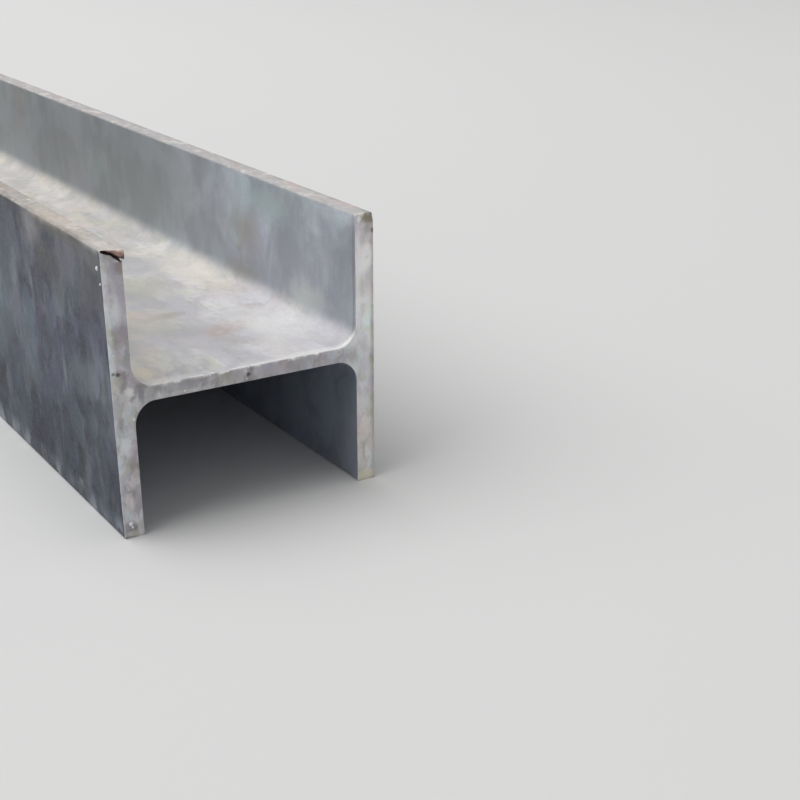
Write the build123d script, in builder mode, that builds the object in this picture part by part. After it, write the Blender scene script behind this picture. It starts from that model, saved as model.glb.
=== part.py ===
from build123d import *

import os

# A rolled steel beam with two parallel flanges and a web, one bar cut square at both ends.
# It lies on the tips of its flanges with the web level. X runs through the section from
# flange to flange, Y along the bar, Z up. The origin is under the middle of the bar.

# Driving dimensions, in millimetres
SECTION_DEPTH = 125.0
FLANGE_WIDTH = 125.0
WEB_THICKNESS = 6.5
FLANGE_THICKNESS = 9.0
ROOT_RADIUS = 10.0
TOE_RADIUS = 1.0
STOCK_LENGTH = 6000.0

# Faces of the section, measured from the bar's own centre line
web_face = WEB_THICKNESS / 2
flange_outer_face = SECTION_DEPTH / 2
flange_inner_face = flange_outer_face - FLANGE_THICKNESS
toe_face = FLANGE_WIDTH / 2

# The near cut end, with its local X along the section's depth and its local Y up
near_end = Plane(
    origin=(0, -STOCK_LENGTH / 2, toe_face),
    x_dir=(1, 0, 0),
    z_dir=(0, -1, 0),
)

with BuildPart() as i_beam:
    with BuildSketch(near_end):
        with BuildLine():
            # Half of the outline, from the middle of the web's upper face round one flange
            # to its lower face. The roots have the rolls' large radius, the toes a small one.
            FilletPolyline(
                (0, web_face),
                (flange_inner_face, web_face),
                (flange_inner_face, toe_face),
                (flange_outer_face, toe_face),
                (flange_outer_face, -toe_face),
                (flange_inner_face, -toe_face),
                (flange_inner_face, -web_face),
                (0, -web_face),
                radius=[ROOT_RADIUS, *[TOE_RADIUS] * 4, ROOT_RADIUS],
            )
            mirror(about=Plane.YZ)
        make_face()
    extrude(amount=-STOCK_LENGTH)

i_beam.part.label = "i_beam"

os.makedirs("parts", exist_ok=True)
export_step(i_beam.part, "parts/i_beam.step")
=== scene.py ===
"""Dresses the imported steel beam: its rolled skin, sawn ends, torn corner, burr and specks."""

import logging
import math
from dataclasses import dataclass
from enum import Enum
from typing import Callable

import bmesh
import bpy
import numpy as np
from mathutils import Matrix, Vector, geometry, noise


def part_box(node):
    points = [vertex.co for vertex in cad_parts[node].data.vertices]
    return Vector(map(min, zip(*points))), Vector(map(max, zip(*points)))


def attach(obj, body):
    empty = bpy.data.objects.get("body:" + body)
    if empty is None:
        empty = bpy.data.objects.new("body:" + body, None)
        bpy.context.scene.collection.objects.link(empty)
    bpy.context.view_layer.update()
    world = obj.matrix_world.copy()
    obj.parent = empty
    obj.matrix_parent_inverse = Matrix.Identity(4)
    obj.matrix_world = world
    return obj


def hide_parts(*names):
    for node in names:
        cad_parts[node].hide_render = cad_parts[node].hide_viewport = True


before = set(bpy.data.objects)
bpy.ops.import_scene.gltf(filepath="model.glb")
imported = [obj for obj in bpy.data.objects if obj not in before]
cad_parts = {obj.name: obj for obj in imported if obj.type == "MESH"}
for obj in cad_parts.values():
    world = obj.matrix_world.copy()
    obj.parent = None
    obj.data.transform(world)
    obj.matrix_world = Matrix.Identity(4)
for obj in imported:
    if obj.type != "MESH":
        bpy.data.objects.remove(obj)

log = logging.getLogger("steel_beam")

MM = 0.001
NODE = "i_beam"
BODY = "root"
EDGE_NAME = "arris"
SEED_STEP = 0.37
EVEN = (1.0, 1.0, 1.0)
WHITE = (1.0, 1.0, 1.0)
MIDDLE = (0.5, 0.5, 0.5)
CLOSE_NOISE = 420.0
WIDE_NOISE = 115.0
WIDE_MARK = 6.5

Point = tuple[float, float, float]
Colour = tuple[float, float, float]
Socket = bpy.types.NodeSocket
Outputs = bpy.types.NodeOutputs
Material = bpy.types.Material
Feed = float | int | str | tuple | Socket | Material
Feeds = dict[str | int, Feed]
Face = tuple[int, ...]


def blend(low: float, high: float, value: np.ndarray) -> np.ndarray:
    """Eases from 0 at low to 1 at high."""
    share = np.clip((value - low) / (high - low), 0.0, 1.0)
    return share * share * (3.0 - 2.0 * share)


def ripple(points: np.ndarray, size: float, seed: float) -> np.ndarray:
    """Reads smooth noise of a size in metres at each point, from about -1 to 1."""
    shift = Vector((seed * 7.31, seed * 3.17, seed * 5.93))
    return np.array([noise.noise(Vector(p) / size + shift) for p in points], float)


class NodeSheet:
    """A node tree being laid out, with short calls for its nodes and links."""

    def __init__(self, tree: bpy.types.NodeTree) -> None:
        """Starts on a tree."""
        self.tree = tree

    def add(self, kind: str, feeds: Feeds | None = None, **settings: object) -> bpy.types.Node:
        """Adds a node.

        Args:
            kind: Blender's name for the node's type.
            feeds: What goes into its sockets, by name or number: a value or another socket.
            settings: The node's own properties.

        Returns:
            The new node.
        """
        node = self.tree.nodes.new(kind)
        node.location = (len(self.tree.nodes) % 14 * 190, -(len(self.tree.nodes) // 14) * 260)
        for name, value in settings.items():
            setattr(node, name, value)
        for name, value in (feeds or {}).items():
            self.feed(node.inputs[name], value)
        return node

    def out(self, kind: str, feeds: Feeds | None = None, **settings: object) -> Socket:
        """Adds a node and gives its first output."""
        return self.add(kind, feeds, **settings).outputs[0]

    def feed(self, socket: Socket, value: Feed) -> None:
        """Links a socket to another, or gives it a value.

        Args:
            socket: The socket that is fed.
            value: The other socket, or the value.
        """
        if isinstance(value, Socket):
            self.tree.links.new(value, socket)
        elif isinstance(value, tuple) and len(value) == 3 and socket.type == "RGBA":
            socket.default_value = (*value, 1.0)
        else:
            socket.default_value = value

    def math(self, operation: str, first: Feed, second: Feed = 0.0, third: Feed = 0.0) -> Socket:
        """Adds a sum of plain numbers, by Blender's name for it, and gives its answer."""
        return self.out("ShaderNodeMath", {0: first, 1: second, 2: third}, operation=operation)

    def times(self, first: Feed, *others: Feed) -> Socket:
        """Multiplies plain numbers, one after the other.

        Args:
            first: The first number.
            others: The numbers that it is multiplied by.

        Returns:
            The socket that gives the answer.
        """
        for other in others:
            first = self.math("MULTIPLY", first, other)
        return first

    def rest(self, value: Feed) -> Socket:
        """Gives what a value leaves of 1."""
        return self.math("SUBTRACT", 1.0, value)

    def vector(self, operation: str, first: Feed, second: Feed = (0.0, 0.0, 0.0)) -> Socket:
        """Adds a sum of vectors, by Blender's name for it, and gives its answer."""
        node = self.add("ShaderNodeVectorMath", {0: first, 1: second}, operation=operation)
        return node.outputs["Value" if operation == "LENGTH" else "Vector"]

    def scaled(self, vector: Feed, factor: Feed) -> Socket:
        """Makes a vector longer or shorter by a plain number."""
        return self.out("ShaderNodeVectorMath", {0: vector, "Scale": factor}, operation="SCALE")

    def split(self, vector: Feed) -> Outputs:
        """Takes a vector apart into X, Y and Z."""
        return self.add("ShaderNodeSeparateXYZ", {0: vector}).outputs

    def join(self, x: Feed, y: Feed, z: Feed) -> Socket:
        """Puts a vector together."""
        return self.out("ShaderNodeCombineXYZ", {"X": x, "Y": y, "Z": z})

    def ease(self, value: Feed, low: Feed, high: Feed, bottom: Feed = 0.0, top: Feed = 1.0) -> Socket:
        """Turns a value into an eased step, from bottom where it is low to top where it is high."""
        feeds = {"Value": value, "From Min": low, "From Max": high, "To Min": bottom, "To Max": top}
        return self.out("ShaderNodeMapRange", feeds, interpolation_type="SMOOTHSTEP")

    def mix(self, share: Feed, first: Feed, second: Feed, way: str = "MIX") -> Socket:
        """Mixes two colours, the second over the first by a share."""
        node = self.add("ShaderNodeMix", {0: share, 6: first, 7: second}, data_type="RGBA", blend_type=way)
        return node.outputs[2]

    def dim(self, colour: Feed, factor: Colour) -> Socket:
        """Multiplies a colour by another."""
        return self.mix(1.0, colour, factor, "MULTIPLY")

    def upward(self) -> Socket:
        """Gives how far the surface looks up, from -1 to 1."""
        return self.split(self.add("ShaderNodeNewGeometry").outputs["Normal"])["Z"]


class Effect(Enum):
    """The surface effects that the finishes share, by the name of their node group."""

    CLOUD = "Cloud"
    PATCH = "Soft Patches"
    DUST = "Settled Dust"
    WEAR = "Worn Edge"
    RUST = "Rust Bloom"
    SPOT = "Spot Mark"
    KERF = "Saw Kerf"
    GRAIN = "Scale Grain"


class Group(NodeSheet):
    """The node group of a shared effect, with its inputs at hand, and how each effect is laid out."""

    def __init__(self, name: str, inputs: dict[str, Feed]) -> None:
        """Makes the group with its named inputs.

        Args:
            name: The group's name.
            inputs: Its inputs after the place, by name, with their values.
        """
        super().__init__(bpy.data.node_groups.new(name, "ShaderNodeTree"))
        self.tree.interface.new_socket("Vector", in_out="INPUT", socket_type="NodeSocketVector")
        for label, value in inputs.items():
            kind = "NodeSocketVector" if isinstance(value, tuple) else "NodeSocketFloat"
            self.tree.interface.new_socket(label, in_out="INPUT", socket_type=kind).default_value = value
        self.given = self.add("NodeGroupInput").outputs

    def noise(self, scale: Feed, detail: Feed = 2.0, roughness: float = 0.55, warp: Feed = 0.0,
              place: Socket | None = None) -> Outputs:
        """Adds noise, another stretch of it for each seed.

        Args:
            scale: How many ups and downs there are to the metre.
            detail: How many finer layers lie on the first.
            roughness: How strong the finer layers are.
            warp: How far the noise is bent by itself.
            place: Where the noise is read, where it isn't the place given to the group.

        Returns:
            The noise's outputs: its value, then its colour.
        """
        place = self.given["Vector"] if place is None else place
        moved = self.vector("ADD", place, self.times(self.given["Seed"], SEED_STEP))
        return self.add("ShaderNodeTexNoise", {
            "Vector": moved, "Scale": scale, "Detail": detail, "Roughness": roughness,
            "Distortion": warp}).outputs

    def cloud(self) -> dict[str, Socket]:
        """Lays out soft clouds, drawn out into streaks where the stretch differs by axis.

        Returns:
            The group's results, by name.
        """
        given = self.given
        place = self.vector("MULTIPLY", given["Vector"], given["Stretch"])
        patch = self.noise(given["Scale"], given["Detail"], 0.58, given["Warp"], place)
        return {"Mask": self.ease(patch[0], given["Low"], given["High"])}

    def patch(self) -> dict[str, Socket]:
        """Lays out soft-edged flat patches, each with three tones of its own that the finish may use.

        Returns:
            The group's results, by name.
        """
        given = self.given
        place = self.vector("MULTIPLY", given["Vector"], given["Stretch"])
        drift = self.noise(self.times(given["Scale"], 0.9), 3.0, place=place)
        reach = self.math("DIVIDE", self.times(given["Warp"], 2.4), given["Scale"])
        shift = self.scaled(self.vector("SUBTRACT", drift[1], MIDDLE), reach)
        moved = self.vector("ADD", self.vector("ADD", place, shift), given["Seed"])
        feeds = {"Vector": moved, "Scale": given["Scale"], "Smoothness": 1.0}
        cells = self.add("ShaderNodeTexVoronoi", feeds, voronoi_dimensions="2D", feature="SMOOTH_F1")
        both = self.mix(given["Blur"], cells.outputs["Color"], drift[1])
        tones = self.add("ShaderNodeSeparateColor", {0: both}).outputs
        return {name: self.ease(tone, 0.24, 0.76) for name, tone in zip(("Tone", "Tint", "Flaw"), tones)}

    def dust(self) -> dict[str, Socket]:
        """Lays out dust that lies on the faces that look upwards, thicker in some patches.

        Returns:
            The group's results, by name.
        """
        given = self.given
        level = self.ease(self.upward(), given["Start"], given["Full"])
        share = self.ease(self.noise(given["Patch"], 3.0, 0.6)[0], 0.3, 0.6, 0.72, 1.0)
        return {"Mask": self.times(level, share, given["Amount"])}

    def wear(self) -> dict[str, Socket]:
        """Lays out bare bright metal along the edges, with a ragged border, kept mostly to those that look up
        as a painted highlight.

        Returns:
            The group's results, by name.
        """
        given = self.given
        patch = self.noise(given["Scale"], 3.0, 0.6)
        shift = self.times(self.math("SUBTRACT", patch[0], 0.5), given["Ragged"])
        bare = self.ease(self.math("ADD", given["Edge"], shift), 0.3, 0.8)
        hidden = self.times(self.ease(self.upward(), 0.1, 0.5, 1.0, 0.0), given["Upward"])
        return {"Mask": self.times(bare, self.rest(hidden))}

    def rust(self) -> dict[str, Socket]:
        """Lays out thin rust in a few patches, broken up by a finer pattern.

        Returns:
            The group's results, by name.
        """
        given = self.given
        wide = self.noise(given["Scale"])
        close = self.noise(self.times(given["Scale"], 9.0), 3.0)
        start = self.math("SUBTRACT", 0.72, self.times(given["Cover"], 0.4))
        body = self.ease(wide[0], start, self.math("ADD", start, 0.16))
        return {"Mask": self.times(body, self.ease(close[0], 0.32, 0.62, 0.35, 1.0))}

    def spot(self) -> dict[str, Socket]:
        """Lays out one mark at a place, as wide along each axis as its reach.

        Returns:
            The group's results, by name.
        """
        given = self.given
        away = self.vector("SUBTRACT", given["Vector"], given["Centre"])
        away = self.vector("DIVIDE", away, given["Reach"])
        shift = self.times(self.math("SUBTRACT", given["Rough"], 0.5), given["Ragged"])
        edge = self.math("ADD", self.vector("LENGTH", away), self.times(shift, 3.0))
        outer = self.math("ADD", 1.0, given["Softness"])
        return {"Mask": self.rest(self.ease(edge, self.rest(given["Softness"]), outer))}

    def kerf(self) -> dict[str, Socket]:
        """Lays out the fine lines that the saw's teeth leave, running across the section.

        Returns:
            The group's results, by name.
        """
        rate = self.math("DIVIDE", 1.0, self.given["Pitch"])
        slow = self.math("DIVIDE", 1.0, self.given["Length"])
        place = self.vector("MULTIPLY", self.given["Vector"], self.join(slow, slow, rate))
        return {"Height": self.noise(1.0, place=place)[0]}

    def grain(self) -> dict[str, Socket]:
        """Lays out the fine roughness of the oxide: shallow pits and small specks.

        Returns:
            The group's results, by name.
        """
        given = self.given
        fine = self.noise(given["Scale"], 4.0, 0.62)
        feeds = {"Vector": given["Vector"], "Scale": self.times(given["Scale"], 0.35)}
        pits = self.add("ShaderNodeTexVoronoi", feeds)
        dip = self.ease(pits.outputs["Distance"], 0.05, 0.32, -0.45, 0.0)
        return {"Height": self.math("ADD", fine[0], dip), "Mask": self.ease(fine[0], 0.42, 0.66)}

    def end(self, results: dict[str, Socket]) -> bpy.types.NodeTree:
        """Ends the group in its named results.

        Args:
            results: The results, by name.

        Returns:
            The node group.
        """
        for label in results:
            self.tree.interface.new_socket(label, in_out="OUTPUT", socket_type="NodeSocketFloat")
        self.add("NodeGroupOutput", results)
        return self.tree


class EffectShelf:
    """Holds the shared effects, each built once as a node group."""

    def __init__(self) -> None:
        """Lists how each effect is laid out and what its inputs are; none is built yet."""
        self.plans: dict[Effect, tuple[Callable[[Group], dict[str, Socket]], dict[str, Feed]]] = {
            Effect.CLOUD: (Group.cloud, {"Scale": 40.0, "Stretch": EVEN, "Detail": 3.0, "Warp": 0.0,
                                         "Low": 0.35, "High": 0.65, "Seed": 0.0}),
            Effect.PATCH: (Group.patch, {"Scale": 60.0, "Stretch": EVEN, "Blur": 0.5, "Warp": 0.6,
                                         "Seed": 0.0}),
            Effect.DUST: (Group.dust, {"Amount": 1.0, "Start": 0.2, "Full": 0.8, "Patch": 60.0,
                                       "Seed": 0.0}),
            Effect.WEAR: (Group.wear, {"Edge": 0.0, "Scale": 400.0, "Ragged": 0.5, "Upward": 0.0,
                                       "Seed": 0.0}),
            Effect.RUST: (Group.rust, {"Scale": 30.0, "Cover": 0.2, "Seed": 0.0}),
            Effect.SPOT: (Group.spot, {"Centre": (0.0, 0.0, 0.0), "Reach": (0.01, 0.01, 0.01),
                                       "Softness": 0.5, "Ragged": 0.3, "Rough": 0.5}),
            Effect.KERF: (Group.kerf, {"Pitch": 0.0012, "Length": 0.03, "Seed": 0.0}),
            Effect.GRAIN: (Group.grain, {"Scale": 900.0, "Seed": 0.0}),
        }
        self.made: dict[Effect, bpy.types.NodeTree] = {}

    def tree(self, effect: Effect) -> bpy.types.NodeTree:
        """Gives an effect's node group, built at its first use.

        Args:
            effect: Which effect it is.

        Returns:
            The node group.
        """
        if effect not in self.made:
            lay_out, inputs = self.plans[effect]
            group = Group(effect.value, inputs)
            self.made[effect] = group.end(lay_out(group))
        return self.made[effect]


@dataclass(frozen=True)
class Mark:
    """A stain, speck or scuff at one place on the steel.

    Its centre is in millimetres: across from the middle, in from the near end, up from the underside.
    """

    centre: Point
    reach: Point
    colour: Colour
    strength: float
    softness: float
    ragged: float


def face_marks(axis: int, at: float, reach: float, *rows: tuple[float, ...]) -> tuple[Mark, ...]:
    """Makes the marks that lie on one flat face.

    Args:
        axis: The axis that the face looks along, 0 across the bar or 1 along it.
        at: Where the face is on that axis, in millimetres.
        reach: How far the marks reach along that axis, in millimetres.
        rows: For each mark its centre and then its reach on the other two axes, its red, green
            and blue, its strength, softness and raggedness.

    Returns:
        The marks, in the order of the rows.
    """
    marks = []
    for row in rows:
        centre = (*row[:axis], at, *row[axis:2])
        spread = (*row[2:2 + axis], reach, *row[2 + axis:4])
        marks.append(Mark(centre, spread, row[4:7], *row[7:]))
    return tuple(marks)


def new_material(name: str) -> tuple[Material, NodeSheet]:
    """Makes an empty node material.

    Args:
        name: Its name.

    Returns:
        The material, and the sheet that its nodes are laid out on.
    """
    material = bpy.data.materials.new(name)
    material.use_nodes = True
    material.node_tree.nodes.clear()
    return material, NodeSheet(material.node_tree)


class Coat(NodeSheet):
    """A finish being laid out, with the shared effects and the surface's own coordinates at hand."""

    def __init__(self, name: str, shelf: EffectShelf, near_end: float = 0.0) -> None:
        """Starts an empty material.

        Args:
            name: The material's name.
            shelf: The shared effects.
            near_end: Where the near end is along the bar, in metres.
        """
        self.material, sheet = new_material(name)
        super().__init__(sheet.tree)
        self.shelf = shelf
        self.near_end = near_end
        self.place = self.add("ShaderNodeTexCoord").outputs["Object"]
        self.axes = self.split(self.place)
        self.roughs: list[Socket] = []

    def effect(self, effect: Effect, **values: Feed) -> Outputs:
        """Puts an effect into the finish with these values, at the surface's own place unless given."""
        tree = self.shelf.tree(effect)
        return self.add("ShaderNodeGroup", {"Vector": self.place, **values}, node_tree=tree).outputs

    def mask(self, effect: Effect, **values: Feed) -> Socket:
        """Puts an effect into the finish and gives its mask."""
        return self.effect(effect, **values)["Mask"]

    def cloud(self, **values: Feed) -> Socket:
        """Gives the mask of soft clouds."""
        return self.mask(Effect.CLOUD, **values)

    def patches(self, **values: Feed) -> Outputs:
        """Gives the three tones of soft-edged patches."""
        return self.effect(Effect.PATCH, **values)

    def grain(self, scale: float, seed: float, output: str) -> Socket:
        """Gives the mask or the height of the oxide's fine roughness."""
        return self.effect(Effect.GRAIN, Scale=scale, Seed=seed)[output]

    def worn(self, scale: float, seed: float) -> Socket:
        """Gives the mask of the metal laid bare along the arris, kept mostly to edges that look up as a
        painted highlight.
        """
        edge = self.add("ShaderNodeAttribute", attribute_name=EDGE_NAME).outputs["Fac"]
        return self.mask(Effect.WEAR, Edge=edge, Scale=scale, Ragged=0.9, Upward=0.9, Seed=seed)

    def step(self, axis: str, low: float, high: float, bottom: float = 0.0, top: float = 1.0) -> Socket:
        """Eases along one of the bar's axes, between two places in metres."""
        return self.ease(self.axes[axis], low, high, bottom, top)

    def layers(self, below: Feed, *layers: tuple[Feed, float, Feed]) -> Feed:
        """Lays colours over a colour, one after the other.

        Args:
            below: The colour at the bottom.
            layers: Each layer's mask, how much of it counts, and its colour.

        Returns:
            The colour on top.
        """
        for mask, share, colour in layers:
            below = self.mix(mask if share == 1.0 else self.times(mask, share), below, colour)
        return below

    def tints(self, below: Feed, *rows: tuple[Outputs, str, float, float, float, Feed]) -> Feed:
        """Lays tints over a colour where the tones of soft patches pass a level.

        Args:
            below: The colour at the bottom.
            rows: For each tint the patches, the name of their tone, the tone where it starts, the
                tone where it is full, how much of it counts, and the tint.

        Returns:
            The colour on top.
        """
        for patches, name, start, full, share, tint in rows:
            below = self.layers(below, (self.ease(patches[name], start, full), share, tint))
        return below

    def paint(self, below: Feed, marks: tuple[Mark, ...]) -> Feed:
        """Paints marks over a colour, their borders made ragged by a close or a wide noise.

        Args:
            below: The colour that they lie on.
            marks: The marks, in order.

        Returns:
            The colour with the marks on it.
        """
        if not self.roughs:
            self.roughs = [self.out("ShaderNodeTexNoise", {"Vector": self.place, "Scale": scale})
                           for scale in (CLOSE_NOISE, WIDE_NOISE)]
        for mark in marks:
            x, y, z = mark.centre
            spot = self.mask(
                Effect.SPOT, Centre=(x * MM, self.near_end + y * MM, z * MM),
                Reach=tuple(r * MM for r in mark.reach), Softness=mark.softness, Ragged=mark.ragged,
                Rough=self.roughs[max(mark.reach) > WIDE_MARK])
            below = self.mix(self.times(spot, mark.strength), below, mark.colour)
        return below

    def finish(self, colour: Socket, rough: Feed, metal: Feed, heights: tuple[tuple[Socket, float], ...],
               depth: float) -> Material:
        """Ends the material in its shader, with the surface's fine relief.

        Args:
            colour: The colour.
            rough: The roughness.
            metal: How metallic it is.
            heights: The relief patterns and how much each one counts.
            depth: The relief's depth, in metres.

        Returns:
            The finished material.
        """
        total = None
        for height, weight in heights:
            part = self.times(height, weight)
            total = part if total is None else self.math("ADD", total, part)
        bump = self.out("ShaderNodeBump", {"Height": total, "Strength": 1.0, "Distance": depth})
        feeds = {"Base Color": colour, "Roughness": rough, "Metallic": metal, "Normal": bump}
        self.add("ShaderNodeOutputMaterial", {"Surface": self.out("ShaderNodeBsdfPrincipled", feeds)})
        return self.material


@dataclass(frozen=True)
class RolledSkin:
    """The rolled surface: dull patchy oxide scale, dusty where it looks up."""

    near_end: float
    flange_outer: float
    width: float
    scale_dark: Colour = (0.052, 0.058, 0.082)
    scale_mid: Colour = (0.152, 0.173, 0.214)
    scale_teal: Colour = (0.118, 0.158, 0.182)
    scale_violet: Colour = (0.124, 0.119, 0.172)
    scale_warm: Colour = (0.122, 0.117, 0.124)
    scale_pale: Colour = (0.25, 0.275, 0.31)
    tip_shadow_line: Colour = (0.055, 0.050, 0.062)
    inner_dark: Colour = (0.32, 0.34, 0.38)
    inner_pale: Colour = (0.64, 0.68, 0.745)
    inner_teal: Colour = (0.46, 0.57, 0.60)
    inner_lilac: Colour = (0.43, 0.435, 0.53)
    inner_warm: Colour = (0.41, 0.40, 0.395)
    inner_far: Colour = (0.23, 0.246, 0.246)
    # Painted shade: the faces under the web take these darker colours.
    painted_shade: Colour = (0.29, 0.31, 0.38)
    painted_shade_violet: Colour = (0.31, 0.305, 0.44)
    painted_shade_teal: Colour = (0.24, 0.32, 0.36)
    dust_pale: Colour = (0.735, 0.718, 0.70)
    dust_grey: Colour = (0.475, 0.465, 0.468)
    dust_olive: Colour = (0.57, 0.57, 0.46)
    dust_lilac: Colour = (0.615, 0.60, 0.655)
    dust_rose: Colour = (0.66, 0.57, 0.565)
    dust_cream: Colour = (0.73, 0.675, 0.565)
    burr_highlight: Colour = (0.92, 0.91, 0.88)
    toe_cream: Colour = (0.425, 0.405, 0.372)
    toe_white: Colour = (0.47, 0.455, 0.46)
    toe_pink: Colour = (0.46, 0.365, 0.34)
    toe_dull: Colour = (0.31, 0.285, 0.265)
    toe_rim: Colour = (0.25, 0.20, 0.185)
    rust: Colour = (0.36, 0.22, 0.13)
    # Pale colour of the bare arris, partly painted highlight.
    bare: Colour = (0.62, 0.61, 0.60)
    marks: tuple[Mark, ...] = (
        Mark((-62.5, 3.6, 117.1), (0.9, 0.9, 0.9), (0.75, 0.77, 0.80), 0.9, 0.35, 0.2),
        Mark((-62.5, 1.1, 111.2), (0.7, 0.7, 0.7), (0.50, 0.51, 0.54), 0.8, 0.4, 0.2),
        Mark((-62.5, 2.0, 109.4), (1.0, 0.8, 1.0), (0.07, 0.075, 0.085), 0.8, 0.5, 0.2),
        *face_marks(
            0, -62.5, 2.0,
            (84.0, 118.0, 11.0, 8.0, 0.27, 0.262, 0.275, 0.7, 0.7, 0.6),
            (46.0, 122.4, 32.0, 3.2, 0.12, 0.112, 0.105, 0.7, 0.7, 0.5),
            (7.0, 120.0, 7.0, 5.0, 0.14, 0.15, 0.142, 0.6, 0.7, 0.5),
            (42.0, 110.0, 9.0, 8.0, 0.15, 0.145, 0.185, 0.6, 0.7, 0.5),
            (72.0, 106.5, 11.0, 7.5, 0.078, 0.078, 0.084, 0.8, 0.6, 0.6),
            (55.0, 102.0, 5.5, 9.0, 0.060, 0.060, 0.07, 0.75, 0.6, 0.6),
            (20.0, 101.0, 8.0, 10.0, 0.07, 0.078, 0.085, 0.6, 0.7, 0.6),
            (71.0, 90.0, 6.0, 8.0, 0.06, 0.064, 0.092, 0.6, 0.6, 0.6),
            (128.0, 92.0, 11.0, 18.0, 0.058, 0.078, 0.098, 0.75, 0.7, 0.6),
            (102.0, 62.0, 13.0, 12.0, 0.135, 0.17, 0.195, 0.65, 0.7, 0.6),
            (136.0, 50.0, 13.0, 20.0, 0.06, 0.08, 0.10, 0.6, 0.7, 0.6),
            (70.0, 76.0, 4.5, 12.0, 0.064, 0.066, 0.092, 0.6, 0.6, 0.5),
            (23.0, 82.0, 4.5, 14.0, 0.056, 0.058, 0.082, 0.65, 0.6, 0.5),
            (34.0, 63.0, 18.0, 9.0, 0.125, 0.155, 0.18, 0.65, 0.7, 0.6),
            (56.5, 59.0, 2.2, 8.0, 0.20, 0.225, 0.245, 0.6, 0.7, 0.4),
            (89.0, 43.0, 8.0, 12.0, 0.044, 0.049, 0.073, 0.6, 0.7, 0.6),
            (58.0, 34.0, 13.0, 9.0, 0.046, 0.052, 0.080, 0.6, 0.7, 0.6),
            (22.0, 26.0, 7.0, 14.0, 0.044, 0.049, 0.075, 0.6, 0.7, 0.6),
            (9.0, 66.0, 2.4, 9.0, 0.22, 0.23, 0.235, 0.55, 0.7, 0.5),
            (48.6, 7.9, 6.0, 3.4, 0.23, 0.26, 0.25, 0.7, 0.7, 0.5),
        ),
        Mark((0.0, 86.0, 65.8), (8.0, 4.5, 4.0), (0.40, 0.35, 0.30), 0.6, 0.7, 0.5),
        Mark((-16.0, 94.0, 65.8), (14.0, 9.0, 4.0), (0.66, 0.57, 0.50), 0.5, 0.8, 0.5),
        Mark((8.0, 140.0, 65.8), (12.0, 22.0, 4.0), (0.51, 0.505, 0.41), 0.55, 0.8, 0.5),
        Mark((0.5, 58.0, 65.8), (10.0, 6.0, 4.0), (0.44, 0.425, 0.43), 0.55, 0.8, 0.5),
        Mark((42.0, 150.0, 66.5), (9.0, 40.0, 4.0), (0.74, 0.69, 0.60), 0.6, 0.8, 0.4),
        Mark((36.0, 48.0, 66.0), (14.0, 22.0, 4.0), (0.75, 0.745, 0.75), 0.55, 0.8, 0.4),
        Mark((-29.0, 52.0, 66.0), (13.0, 12.0, 4.0), (0.50, 0.485, 0.53), 0.5, 0.8, 0.5),
        Mark((-41.2, 16.5, 66.5), (4.0, 6.0, 4.0), (0.76, 0.68, 0.55), 0.75, 0.7, 0.4),
        # Painted shade in the left root, near the end.
        Mark((-50.8, 9.0, 73.0), (3.0, 12.0, 7.0), (0.36, 0.34, 0.345), 0.6, 0.8, 0.4),
        Mark((-34.0, 3.0, 66.0), (9.0, 3.0, 3.0), (0.74, 0.72, 0.71), 0.6, 0.7, 0.6),
        # The next two pale marks are painted highlight on the burr along the web's near edge and up the right
        # root.
        Mark((30.0, 2.0, 66.0), (24.0, 2.4, 3.0), (0.80, 0.795, 0.78), 0.6, 0.7, 0.7),
        Mark((48.5, 0.9, 68.4), (5.0, 1.5, 4.0), (0.86, 0.86, 0.84), 0.75, 0.6, 0.3),
        Mark((-48.8, 0.6, 70.2), (7.0, 1.6, 7.0), (0.47, 0.455, 0.45), 0.75, 0.6, 0.4),
        # Painted shade: a dark strip on the right flange's inner face just inside the near end's arris.
        Mark((53.5, 2.0, 92.0), (2.0, 1.1, 28.0), (0.22, 0.225, 0.245), 0.6, 0.6, 0.3),
        Mark((-59.0, 10.0, 125.0), (4.0, 11.0, 2.0), (0.60, 0.58, 0.55), 0.6, 0.8, 0.5),
        Mark((-55.5, 2.0, 125.0), (3.4, 4.0, 2.0), (0.60, 0.51, 0.45), 0.5, 0.8, 0.5),
        Mark((-58.0, 60.0, 125.0), (5.0, 26.0, 2.0), (0.60, 0.54, 0.45), 0.5, 0.8, 0.5),
        Mark((60.0, 21.0, 125.0), (3.0, 7.0, 2.0), (0.58, 0.47, 0.46), 0.6, 0.7, 0.5),
        Mark((59.0, 66.0, 125.0), (3.0, 9.0, 2.0), (0.56, 0.46, 0.42), 0.5, 0.7, 0.5),
        *face_marks(
            0, 53.5, 2.0,
            (80.0, 114.0, 22.0, 8.0, 0.47, 0.57, 0.575, 0.75, 0.8, 0.5),
            (108.0, 96.0, 13.0, 9.0, 0.385, 0.365, 0.335, 0.75, 0.8, 0.5),
            (60.0, 94.0, 13.0, 8.0, 0.385, 0.39, 0.45, 0.7, 0.8, 0.5),
            (20.0, 112.0, 8.0, 9.0, 0.40, 0.415, 0.48, 0.5, 0.8, 0.5),
            (46.0, 77.0, 16.0, 7.0, 0.58, 0.605, 0.575, 0.7, 0.8, 0.5),
            (114.0, 72.0, 14.0, 7.0, 0.30, 0.29, 0.262, 0.7, 0.8, 0.5),
            (129.0, 109.0, 9.0, 9.0, 0.47, 0.52, 0.57, 0.5, 0.8, 0.5),
            (200.0, 100.0, 55.0, 30.0, 0.33, 0.35, 0.355, 0.55, 0.8, 0.3),
        ),
    )

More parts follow.
